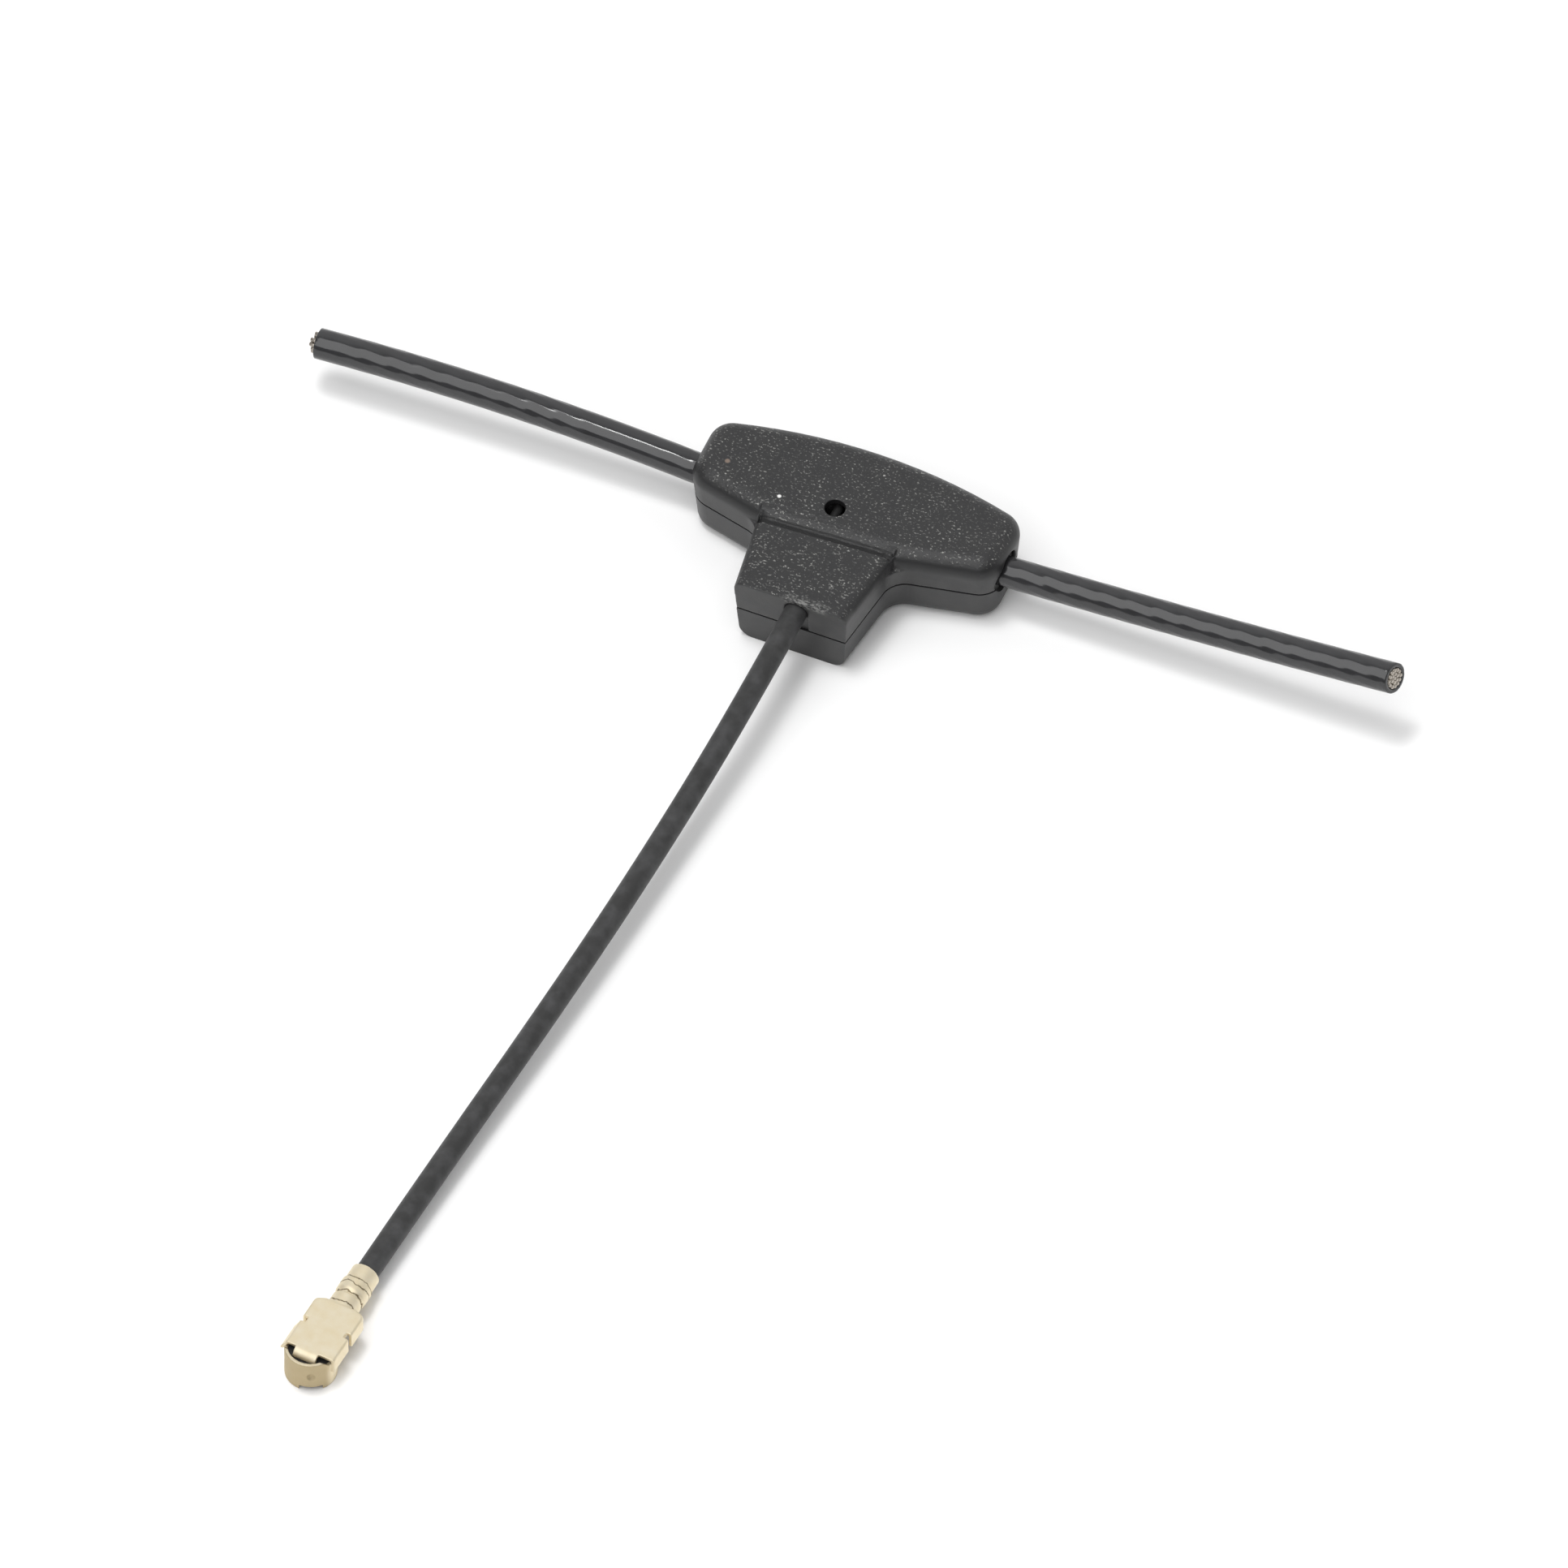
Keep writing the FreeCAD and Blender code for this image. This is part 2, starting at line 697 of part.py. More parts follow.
def plug_insulator():
    """Plastic core: a disc in the ring and a tail that carries the cable's inner insulation."""
    radius = ring_diameter / 2 - sheet - fit_clearance
    bottom = ring_height - insulator_height
    disc = Part.makeCylinder(radius, insulator_height, Vector(0, 0, bottom))
    half_tail = insulator_tail_width / 2
    tail = box(Vector(-half_tail, 0, plug_cable_height - half_tail),
               Vector(half_tail, insulator_tail_reach, plug_cable_height + half_tail))
    tail = tail.cut(Part.makeCylinder(radius, bottom))
    seat = rod(Vector(0, radius, plug_cable_height), Vector(0, 2 * radius, plug_cable_height),
               dielectric_diameter + 2 * fit_clearance)
    lead = rod(Vector(0, 0, plug_cable_height), Vector(0, radius, plug_cable_height),
               core_diameter + 2 * fit_clearance)
    post = Part.makeCylinder(contact_diameter / 2 + fit_clearance, contact_top() - bottom + fit_clearance,
                             Vector(0, 0, bottom))
    return disc.fuse(tail).removeSplitter().cut([seat, lead, post])


def contact_top():
    """Top of the contact, a little above the core that enters it."""
    return plug_cable_height + core_diameter


def plug_contact():
    """Centre socket: a round post with a bore from below and a cross hole for the core."""
    foot = Vector(0, 0, contact_bottom)
    post = rod(foot, Vector(0, 0, contact_top()), contact_diameter)
    bore = rod(foot, foot + up * contact_bore_depth, contact_bore)
    lead = rod(Vector(0, 0, plug_cable_height), Vector(0, contact_diameter, plug_cable_height),
               core_diameter + fit_clearance)
    return post.cut([bore, lead])


def plug_core():
    """Centre wire between the contact and the jacket's end."""
    start = Vector(0, fit_clearance, plug_cable_height)
    end = Vector(0, jacket_end(), plug_cable_height)
    return rod(start, end, core_diameter)


def plug_dielectric():
    """Inner insulation between the insulator's seat and the jacket's end."""
    start = Vector(0, ring_diameter / 2 - sheet, plug_cable_height)
    end = Vector(0, jacket_end(), plug_cable_height)
    return rod(start, end, dielectric_diameter).cut(rod(start, end, core_diameter + fit_clearance))


def plug_braid():
    """Shield under the inner crimp."""
    start = Vector(0, shield_crimp_start(), plug_cable_height)
    end = Vector(0, jacket_end(), plug_cable_height)
    return rod(start, end, braid_diameter).cut(rod(start, end, dielectric_diameter + fit_clearance))


def placed(shape):
    """Shape of the plug's own frame, where the plug lies."""
    shape.Placement = plug_placement.multiply(shape.Placement)
    return shape


def main():
    """Builds every piece and writes it to a file of its own."""
    left_sleeve, left_wire = left_arm_pieces()
    right_sleeve, right_wire = right_arm_pieces()
    braid = feed_braid()
    core = feed_core()
    pieces = {
        "upper_shell": upper_shell(),
        "lower_shell": lower_shell(),
        "left_arm_insulation": left_sleeve,
        "right_arm_insulation": right_sleeve,
        "left_arm_conductor": left_wire,
        "right_arm_conductor": right_wire,
        "feed_cable": feed_cable(),
        "feed_braid": braid,
        "feed_dielectric": feed_dielectric(),
        "feed_core": core,
        "left_solder_joint": solder_joint(-1, braid, left_wire),
        "right_solder_joint": solder_joint(1, core, right_wire),
        "plug_shell": placed(plug_shell()),
        "plug_insulator": placed(plug_insulator()),
        "plug_contact": placed(plug_contact()),
        "plug_core": placed(plug_core()),
        "plug_dielectric": placed(plug_dielectric()),
        "plug_braid": placed(plug_braid()),
    }
    os.makedirs("parts", exist_ok=True)
    for name, shape in pieces.items():
        solids = len(shape.Solids)
        print("%s: solids %d, valid %s, volume %.4f" % (name, solids, shape.isValid(), shape.Volume))
        shape.exportStep("parts/%s.step" % name)


main()
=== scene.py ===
"""T-shaped receiver antenna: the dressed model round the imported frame, in metres."""

import logging
import math
import random
from dataclasses import dataclass
from enum import Enum
from functools import partial
from typing import Callable, Mapping, Sequence, Union

import bmesh
import bpy
from mathutils import Matrix, Vector, noise


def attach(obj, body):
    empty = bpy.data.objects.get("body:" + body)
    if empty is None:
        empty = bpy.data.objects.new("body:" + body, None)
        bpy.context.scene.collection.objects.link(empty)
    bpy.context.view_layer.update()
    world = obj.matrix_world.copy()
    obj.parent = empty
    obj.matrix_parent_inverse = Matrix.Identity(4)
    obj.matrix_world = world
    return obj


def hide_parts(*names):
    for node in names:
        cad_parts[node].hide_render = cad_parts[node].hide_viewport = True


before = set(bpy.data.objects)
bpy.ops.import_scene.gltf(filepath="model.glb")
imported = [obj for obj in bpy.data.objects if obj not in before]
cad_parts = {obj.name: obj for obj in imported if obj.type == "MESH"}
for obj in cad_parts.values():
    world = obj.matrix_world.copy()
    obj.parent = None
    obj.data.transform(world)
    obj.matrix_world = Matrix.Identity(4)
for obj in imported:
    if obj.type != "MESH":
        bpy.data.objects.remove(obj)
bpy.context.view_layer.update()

LOG = logging.getLogger("receiver_antenna")
MM = 0.001
ROOT_BODY = "root"
# Middle of the plug's ring, in millimetres
PLUG_MIDDLE = (-4.2, -54.8)
# Multiplied with a place, it drops the height
LEVEL_ONLY = (1.0, 1.0, 0.0)

Socket = bpy.types.NodeSocket
Tree = bpy.types.NodeTree
Value = Union[Socket, float, Sequence[float]]
Edge = tuple[Socket, float, float]


class Slot(Enum):
    """The record's material slots, one given for each new piece."""

    GRAINED = "housing_grained"
    SLEEVE = "arm_sleeve"
    WIRE = "tinned_wire"
    JACKET = "cable_jacket"
    GOLD = "gold_plate"


class Side(Enum):
    """The two arms, by the way they point along X."""

    LEFT = -1
    RIGHT = 1


class LampShape(Enum):
    """The shapes of the studio's lamps."""

    DISC = "DISK"
    PANEL = "RECTANGLE"


@dataclass(frozen=True)
class Groove:
    """The straight groove at the stem's root, in millimetres. Its middle lies at Y = middle + slope * X."""

    middle: float = -2.57
    slope: float = 0.045
    half: float = 0.2
    left: float = -4.4
    right: float = 3.4


GROOVE = Groove()


# Shared small tools


def linear(colour: str) -> tuple[float, float, float, float]:
    """Turns an sRGB hex colour into linear red, green, blue and alpha.

    Args:
        colour: Six hex digits after a hash sign.

    Returns:
        The linear colour with an alpha of one.
    """
    parts = [int(colour[i:i + 2], 16) / 255 for i in (1, 3, 5)]
    red, green, blue = (c / 12.92 if c <= 0.04045 else ((c + 0.055) / 1.055) ** 2.4 for c in parts)
    return red, green, blue, 1.0


def add_node(tree: Tree, kind: str, settings: Mapping[str, object] = {},
             inputs: Mapping[Union[str, int], Value] = {}) -> bpy.types.Node:
    """Adds a node with its settings, and links or sets its inputs.

    Args:
        tree: The node tree that takes the node.
        kind: The node's type name.
        settings: The node's own properties.
        inputs: A socket to link from, or a plain value, for each input.

    Returns:
        The new node.
    """
    node = tree.nodes.new(kind)
    for name, value in settings.items():
        setattr(node, name, value)
    for name, value in inputs.items():
        if isinstance(value, bpy.types.NodeSocket):
            tree.links.new(value, node.inputs[name])
        else:
            node.inputs[name].default_value = value
    return node


def soft_mask(tree: Tree, edges: Sequence[Edge], strength: Value = 1.0) -> Value:
    """Finds how much of a surface lies inside some soft edges.

    Args:
        tree: The material's node tree.
        edges: A value for each edge, with where it starts to count and where it counts in full.
        strength: How much the inside counts.

    Returns:
        The share, from zero outside to the strength inside.
    """
    share = strength
    for value, start, full in edges:
        step = add_node(tree, "ShaderNodeMapRange", {"interpolation_type": "SMOOTHSTEP"},
                        {"Value": value, "From Min": start, "From Max": full}).outputs[0]
        share = add_node(tree, "ShaderNodeMath", {"operation": "MULTIPLY"}, {0: step, 1: share}).outputs[0]
    return share


def painted(tree: Tree, base: Value, colour: str, edges: Sequence[Edge], strength: Value = 1.0) -> Socket:
    """Paints a colour over a base inside some soft edges.

    Args:
        tree: The material's node tree.
        base: The colour so far.
        colour: The colour on top, in sRGB hex.
        edges: The soft edges, as for soft_mask.
        strength: How well the colour covers the base inside them.

    Returns:
        The resulting colour.
    """
    share = soft_mask(tree, edges, strength)
    return add_node(tree, "ShaderNodeMix", {"data_type": "RGBA"},
                    {0: share, 6: base, 7: linear(colour)}).outputs[2]


def unit(value: float) -> float:
    """Holds a value between zero and one."""
    return max(0.0, min(1.0, value))


def modified(mesh: bpy.types.Mesh, *steps: tuple[str, Mapping[str, object]]) -> bpy.types.Mesh:
    """Runs a mesh through modifiers.

    Args:
        mesh: The mesh, which stays as it is.
        steps: The kind of each modifier with its settings.

    Returns:
        The resulting mesh.
    """
    blank = bpy.data.objects.new("blank", mesh)
    bpy.context.scene.collection.objects.link(blank)
    for kind, settings in steps:
        modifier = blank.modifiers.new(kind, kind)
        for name, value in settings.items():
            setattr(modifier, name, value)
    depsgraph = bpy.context.evaluated_depsgraph_get()
    result = bpy.data.meshes.new_from_object(blank.evaluated_get(depsgraph))
    bpy.data.objects.remove(blank)
    return result


def new_piece(name: str, data: bpy.types.ID, slot: Slot, *nodes: str) -> bpy.types.Object:
    """Makes an object that rides with the antenna and stands for CAD nodes.

    Args:
        name: The piece's name.
        data: Its mesh or curve.
        slot: The record's slot that its finish belongs to; not used.
        nodes: The CAD nodes that it replaces.

    Returns:
        The new object, linked to the scene.
    """
    piece = bpy.data.objects.new(name, data)
    bpy.context.scene.collection.objects.link(piece)
    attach(piece, ROOT_BODY)
    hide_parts(*nodes)
    LOG.info("piece %s", name)
    return piece


# Finishes


class Finish:
    """A surface finish, whose material is made the first time it is asked for."""

    name: str

    def material(self) -> bpy.types.Material:
        """Gives the finish's material."""
        found = bpy.data.materials.get(self.name)
        if found is not None:
            return found
        material = bpy.data.materials.new(self.name)
        material.use_nodes = True
        tree = material.node_tree
        place = add_node(tree, "ShaderNodeTexCoord").outputs["Object"]
        scaled = add_node(tree, "ShaderNodeVectorMath", {"operation": "SCALE"}, {0: place, "Scale": 1 / MM})
        self.paint(tree, tree.nodes["Principled BSDF"], scaled.outputs[0])
        return material

    def paint(self, tree: Tree, shader: bpy.types.Node, place: Socket) -> None:
        """Sets the shader's inputs.

        Args:
            tree: The material's node tree.
            shader: Its principled shader.
            place: The surface point in millimetres.
        """
        raise NotImplementedError


@dataclass(frozen=True)
class Speck:
    """A grain of dust or a nick on the housing's top, in millimetres."""

    x: float
    y: float
    radius: float
    colour: str


@dataclass(frozen=True)
class MouldedAbs(Finish):
    """ABS moulded in two tool halves, with its sizes in millimetres.

    The top's tool is spark eroded, so it shows a fine pebbled grain. On the upward faces its high points
    glint, as painted highlights in small uneven light flecks, and its pits are painted shade that darkens
    the top. The grain stops below the rolled edges, where a smooth band is darkened by painted shade. The
    walls come from a plain tool, and are smooth and matt.
    """

    name: str
    colour: str = "#393939"
    dark_colour: str = "#313132"
    # Painted highlight: the grain's glints, as light flecks on the upward faces
    painted_glint_colour: str = "#a9a9a5"
    # Painted shade: a darker band on the steep upper walls, below the rolled edges
    shade_band_colour: str = "#1f1f20"
    rubbed_colour: str = "#7c7c7a"
    # Painted shade in the groove at the stem's root
    groove_shade_colour: str = "#131314"
    # Painted shade of the grain's pits, which darkens the upward faces
    pit_shade_colour: str = "#262627"
    pit_shade_share: float = 0.0
    mottle: float = 1.1
    mottle_octaves: float = 3.0
    patch_from: float = 0.35
    patch_full: float = 0.65
    fleck: float = 0.12
    fleck_octaves: float = 2.0
    fleck_contrast: float = 0.6
    fleck_stretch: tuple[float, float, float] = (0.8, 1.2, 1.0)
    fleck_from: float = 0.57
    fleck_full: float = 0.76
    fleck_least: float = 0.4
    grain_height: float = 0.03
    grain_from: float = 0.5
    grain_full: float = 0.8
    # Drawn coarser than the real polish of the tool, so that it shows in the render
    wall_texture: float = 0.09
    wall_octaves: float = 2.0
    wall_height: float = 0.003
    roughness: float = 0.42
    band_low: float = 3.1
    band_full: float = 3.6
    band_steep: float = 0.5
    band_flat: float = 0.9
    band_front: float = -6.3
    band_fade: float = 0.4
    shade_band_strength: float = 0.0
    lip_front: float = -6.9
    lip_back: float = -6.3
    lip_height: float = 3.75
    lip_rise: float = 0.3
    lip_left: float = -0.9
    lip_right: float = 1.7
    lip_fade: float = 0.5
    rub_from: float = 0.4
    rub_full: float = 0.6
    groove_edge: float = 0.12
    groove_fade: float = 1.0
    groove_level: float = 3.6
    specks: tuple[Speck, ...] = ()

    def paint(self, tree: Tree, shader: bpy.types.Node, place: Socket) -> None:
        """Sets the shader's inputs.

        Args:
            tree: The material's node tree.
            shader: Its principled shader.
            place: The surface point in millimetres.
        """
        normal = add_node(tree, "ShaderNodeNewGeometry").outputs["Normal"]
        upward = add_node(tree, "ShaderNodeSeparateXYZ", {}, {0: normal}).outputs["Z"]
        spot = add_node(tree, "ShaderNodeSeparateXYZ", {}, {0: place}).outputs
        mottle = add_node(tree, "ShaderNodeTexNoise", {}, {
            "Vector": place, "Scale": 1 / self.mottle, "Detail": self.mottle_octaves,
        }).outputs["Fac"]
        squeezed = add_node(tree, "ShaderNodeVectorMath", {"operation": "MULTIPLY"},
                            {0: place, 1: self.fleck_stretch}).outputs[0]
        grain = add_node(tree, "ShaderNodeTexNoise", {}, {
            "Vector": squeezed, "Scale": 1 / self.fleck, "Detail": self.fleck_octaves,
            "Roughness": self.fleck_contrast,
        }).outputs["Fac"]
        top = (upward, self.grain_from, self.grain_full)
        patch = (mottle, self.patch_from, self.patch_full)
        spread = add_node(tree, "ShaderNodeMath", {"operation": "MULTIPLY_ADD"}, {
            0: soft_mask(tree, [patch]), 1: 1 - self.fleck_least, 2: self.fleck_least,
        }).outputs[0]
        base = painted(tree, linear(self.dark_colour), self.colour, [patch])
        # Painted shade of the grain's pits on the upward faces
        base = painted(tree, base, self.pit_shade_colour, [top], self.pit_shade_share)
        # Painted highlights: the grain's glints as light flecks on the upward faces
        base = painted(tree, base, self.painted_glint_colour, [
            (grain, self.fleck_from, self.fleck_full),
            top,
        ], spread)
        # Painted shade: a darker band on the steep upper walls, below the rolled edges
        base = painted(tree, base, self.shade_band_colour, [
            (spot["Z"], self.band_low, self.band_full),
            (upward, self.band_flat, self.band_steep),
            (spot["Y"], self.band_front, self.band_front + self.band_fade),
        ], self.shade_band_strength)
        base = self.with_rubbed_lip(tree, place, grain, base)
        # Painted shade in the groove
        base = self.with_groove_shade(tree, place, base)
        for speck in self.specks:
            base = self.with_speck(tree, place, speck, base)
        fine = add_node(tree, "ShaderNodeTexNoise", {}, {
            "Vector": place, "Scale": 1 / self.wall_texture, "Detail": self.wall_octaves,
        }).outputs["Fac"]
        pebbles = add_node(tree, "ShaderNodeBump", {}, {
            "Height": grain, "Strength": soft_mask(tree, [top]), "Distance": self.grain_height * MM,
        }).outputs[0]
        matt = add_node(tree, "ShaderNodeBump", {}, {
            "Height": fine, "Distance": self.wall_height * MM, "Normal": pebbles,
        }).outputs[0]
        tree.links.new(base, shader.inputs["Base Color"])
        tree.links.new(matt, shader.inputs["Normal"])
        shader.inputs["Roughness"].default_value = self.roughness

    def with_rubbed_lip(self, tree: Tree, place: Socket, grain: Socket, base: Socket) -> Socket:
        """Lightens the crisp edge over the cable, where handling has rubbed it.

        Args:
            tree: The material's node tree.
            place: The surface point in millimetres.
            grain: A noise that breaks the rubbed edge up.
            base: The colour so far.

        Returns:
            The colour with the rubbed edge.
        """
        spot = add_node(tree, "ShaderNodeSeparateXYZ", {}, {0: place}).outputs
        return painted(tree, base, self.rubbed_colour, [
            (spot["Y"], self.lip_back, self.lip_front),
            (spot["Z"], self.lip_height, self.lip_height + self.lip_rise),
            (spot["X"], self.lip_left, self.lip_left + self.lip_fade),
            (spot["X"], self.lip_right, self.lip_right - self.lip_fade),
            (grain, self.rub_from, self.rub_full),
        ])

    def with_groove_shade(self, tree: Tree, place: Socket, base: Socket) -> Socket:
        """Paints shade into the groove at the stem's root.

        Args:
            tree: The material's node tree.
            place: The surface point in millimetres.
            base: The colour so far.

        Returns:
            The colour with the painted shade in the groove.
        """
        spot = add_node(tree, "ShaderNodeSeparateXYZ", {}, {0: place}).outputs
        middle = add_node(tree, "ShaderNodeMath", {"operation": "MULTIPLY_ADD"},
                          {0: spot["X"], 1: GROOVE.slope, 2: GROOVE.middle}).outputs[0]
        offset = add_node(tree, "ShaderNodeMath", {"operation": "SUBTRACT"},
                          {0: spot["Y"], 1: middle}).outputs[0]
        away = add_node(tree, "ShaderNodeMath", {"operation": "ABSOLUTE"}, {0: offset}).outputs[0]
        return painted(tree, base, self.groove_shade_colour, [
            (away, GROOVE.half + self.groove_edge, GROOVE.half - self.groove_edge),
            (spot["X"], GROOVE.left, GROOVE.left + self.groove_fade),
            (spot["X"], GROOVE.right, GROOVE.right - self.groove_fade),
            (spot["Z"], self.groove_level, self.groove_level + self.groove_edge),
        ])

    def with_speck(self, tree: Tree, place: Socket, speck: Speck, base: Socket) -> Socket:
        """Adds one speck to the colour.

        Args:
            tree: The material's node tree.
            place: The surface point in millimetres.
            speck: The speck.
            base: The colour so far.

        Returns:
            The colour with the speck.
        """
        flat = add_node(tree, "ShaderNodeVectorMath", {"operation": "MULTIPLY"},
                        {0: place, 1: LEVEL_ONLY}).outputs[0]
        away = add_node(tree, "ShaderNodeVectorMath", {"operation": "DISTANCE"},
                        {0: flat, 1: (speck.x, speck.y, 0.0)}).outputs["Value"]
        return painted(tree, base, speck.colour, [(away, speck.radius, speck.radius / 2)])


@dataclass(frozen=True)
class ExtrudedPvc(Finish):
    """Black PVC extruded over stranded wire, with a sharp reflection that fine smears dull a little."""

    name: str = "extruded_gloss_pvc"
    colour: str = "#2c2c2d"
    wear_and_shade_colour: str = "#38383a"
    smear: float = 0.8
    smear_octaves: float = 4.0
    roughness: float = 0.09
    roughness_spread: float = 0.07
    ior: float = 1.55

    def paint(self, tree: Tree, shader: bpy.types.Node, place: Socket) -> None:
        """Sets the shader's inputs.

        Args:
            tree: The material's node tree.
            shader: Its principled shader.
            place: The surface point in millimetres.
        """
        smear = add_node(tree, "ShaderNodeTexNoise", {}, {
            "Vector": place, "Scale": 1 / self.smear, "Detail": self.smear_octaves,
        }).outputs["Fac"]
        base = painted(tree, linear(self.colour), self.wear_and_shade_colour, [], smear)
        rough = add_node(tree, "ShaderNodeMath", {"operation": "MULTIPLY_ADD"},
                         {0: smear, 1: self.roughness_spread, 2: self.roughness}).outputs[0]
        tree.links.new(base, shader.inputs["Base Color"])
        tree.links.new(rough, shader.inputs["Roughness"])
        shader.inputs["IOR"].default_value = self.ior


@dataclass(frozen=True)
class SatinPolymer(Finish):
    """A polymer extruded, moulded or poured: satin and soft to the eye, with faint cloudy lighter spots."""

    name: str
    colour: str
    cloud_colour: str
    cloud: float = 0.7
    cloud_octaves: float = 5.0
    cloud_from: float = 0.4
    cloud_full: float = 0.75
    # Drawn coarser than the real skin of the polymer, so that it shows in the render
    texture: float = 0.12
    texture_octaves: float = 2.0
    texture_height: float = 0.006
    roughness: float = 0.5
    ior: float = 1.38

    def paint(self, tree: Tree, shader: bpy.types.Node, place: Socket) -> None:
        """Sets the shader's inputs.

        Args:
            tree: The material's node tree.
            shader: Its principled shader.
            place: The surface point in millimetres.
        """
        cloud = add_node(tree, "ShaderNodeTexNoise", {}, {
            "Vector": place, "Scale": 1 / self.cloud, "Detail": self.cloud_octaves,
        }).outputs["Fac"]
        share = add_node(tree, "ShaderNodeMapRange", {}, {
            "Value": cloud, "From Min": self.cloud_from, "From Max": self.cloud_full,
        }).outputs[0]
        base = painted(tree, linear(self.colour), self.cloud_colour, [], share)
        skin = add_node(tree, "ShaderNodeTexNoise", {}, {
            "Vector": place, "Scale": 1 / self.texture, "Detail": self.texture_octaves,
        }).outputs["Fac"]
        bump = add_node(tree, "ShaderNodeBump", {}, {"Height": skin, "Distance": self.texture_height * MM})
        tree.links.new(base, shader.inputs["Base Color"])
        tree.links.new(bump.outputs[0], shader.inputs["Normal"])
        shader.inputs["Roughness"].default_value = self.roughness
        shader.inputs["IOR"].default_value = self.ior


@dataclass(frozen=True)
class WorkedMetal(Finish):
    """A bare or plated metal, drawn or stamped: bright, clouded by handling, with fine working marks.

    The marks are drawn coarser than real ones, so that they show in the render.
    """

    name: str
    colour: str
    cloud_colour: str
    cloud: float
    roughness: float
    roughness_spread: float
    marks: float
    marks_height: float
    cloud_octaves: float = 4.0
    marks_octaves: float = 3.0
    # Painted shade at the ring's front, which reflects the shaded table
    wear_and_shade_colour: str = "#000000"
    shaded_front_middle: tuple[float, float] = (0.0, 0.0)
    shaded_front_radius: float = 0.0
    shaded_front_start: float = -0.15
    shaded_front_full: float = -0.65
    shaded_front_height: float = 1.88
    shaded_front_fade: float = 0.08
    axis: tuple[float, float, float] = (0.0, 1.0, 0.0)
    creases: tuple[float, ...] = ()
    # Painted shade in the creases round the crimps
    crease_shade_colour: str = "#7d6a48"
    crease_half: float = 0.06
    crease_waver: float = 0.5

    def paint(self, tree: Tree, shader: bpy.types.Node, place: Socket) -> None:
        """Sets the shader's inputs.

        Args:
            tree: The material's node tree.
            shader: Its principled shader.
            place: The surface point in millimetres.
        """
        cloud = add_node(tree, "ShaderNodeTexNoise", {}, {
            "Vector": place, "Scale": 1 / self.cloud, "Detail": self.cloud_octaves,
        }).outputs["Fac"]
        base = painted(tree, linear(self.colour), self.cloud_colour, [], cloud)
        if self.creases:
            base = self.with_painted_shade(tree, place, cloud, base)
        rough = add_node(tree, "ShaderNodeMath", {"operation": "MULTIPLY_ADD"},
                         {0: cloud, 1: self.roughness_spread, 2: self.roughness}).outputs[0]
        marks = add_node(tree, "ShaderNodeTexNoise", {}, {
            "Vector": place, "Scale": 1 / self.marks, "Detail": self.marks_octaves,
        }).outputs["Fac"]
        bump = add_node(tree, "ShaderNodeBump", {}, {"Height": marks, "Distance": self.marks_height * MM})
        tree.links.new(base, shader.inputs["Base Color"])
        tree.links.new(rough, shader.inputs["Roughness"])
        tree.links.new(bump.outputs[0], shader.inputs["Normal"])
        shader.inputs["Metallic"].default_value = 1.0

    def with_painted_shade(self, tree: Tree, place: Socket, cloud: Socket, base: Socket) -> Socket:
        """Paints shade on the ring's front, which reflects the shaded table, and in the crimps' creases.

        Args:
            tree: The material's node tree.
            place: The surface point in millimetres.
            cloud: A noise that makes the creases waver.
            base: The colour so far.

        Returns:
            The colour with the painted shade.
        """
        away = add_node(tree, "ShaderNodeVectorMath", {"operation": "SUBTRACT"},
                        {0: place, 1: (*self.shaded_front_middle, 0.0)}).outputs[0]
        flat = add_node(tree, "ShaderNodeVectorMath", {"operation": "MULTIPLY"},
                        {0: away, 1: LEVEL_ONLY}).outputs[0]
        radius = add_node(tree, "ShaderNodeVectorMath", {"operation": "LENGTH"}, {0: flat}).outputs["Value"]
        height = add_node(tree, "ShaderNodeSeparateXYZ", {}, {0: place}).outputs["Z"]
        along = add_node(tree, "ShaderNodeVectorMath", {"operation": "DOT_PRODUCT"},
                         {0: away, 1: self.axis}).outputs["Value"]
        # Painted shade on the ring's front, which reflects the shaded table
        base = painted(tree, base, self.wear_and_shade_colour, [
            (radius, self.shaded_front_radius, self.shaded_front_radius + self.shaded_front_fade),
            (along, self.shaded_front_start, self.shaded_front_full),
            (height, self.shaded_front_height, self.shaded_front_height - self.shaded_front_fade),
        ])
        waver = add_node(tree, "ShaderNodeMath", {"operation": "MULTIPLY_ADD"},
                         {0: cloud, 1: self.crease_waver, 2: along}).outputs[0]
        # Painted shade in the creases round the crimps
        for crease in self.creases:
            offset = add_node(tree, "ShaderNodeMath", {"operation": "SUBTRACT"},
                              {0: waver, 1: crease + self.crease_waver / 2}).outputs[0]
            gap = add_node(tree, "ShaderNodeMath", {"operation": "ABSOLUTE"}, {0: offset}).outputs[0]
            base = painted(tree, base, self.crease_shade_colour, [(gap, self.crease_half, 0.0)])
        return base


# Spark-eroded ABS: a dark pebbled top with painted glints, and painted shade in its pits, its groove and
# under its rolled edges, with a white and a brown speck on it
GRAINED_ABS = MouldedAbs("abs_spark_grained_top", shade_band_strength=0.95, pit_shade_share=0.72, specks=(
    Speck(-3.24, -1.33, 0.125, "#e8e8e6"),
    Speck(-6.32, -0.33, 0.16, "#796a5f"),
))
# Plain moulded ABS: even, matt and grey-black
SMOOTH_ABS = MouldedAbs("abs_smooth_moulded", colour="#363636", grain_height=0.004, painted_glint_colour="#4a4a4a")
# Extruded PVC: black, with long sharp reflections
GLOSS_PVC = ExtrudedPvc()
# Extruded fluoropolymer: a satin charcoal skin with faint lighter clouds
CABLE_JACKET = SatinPolymer("fluoropolymer_extruded_jacket", "#353535", "#474748")
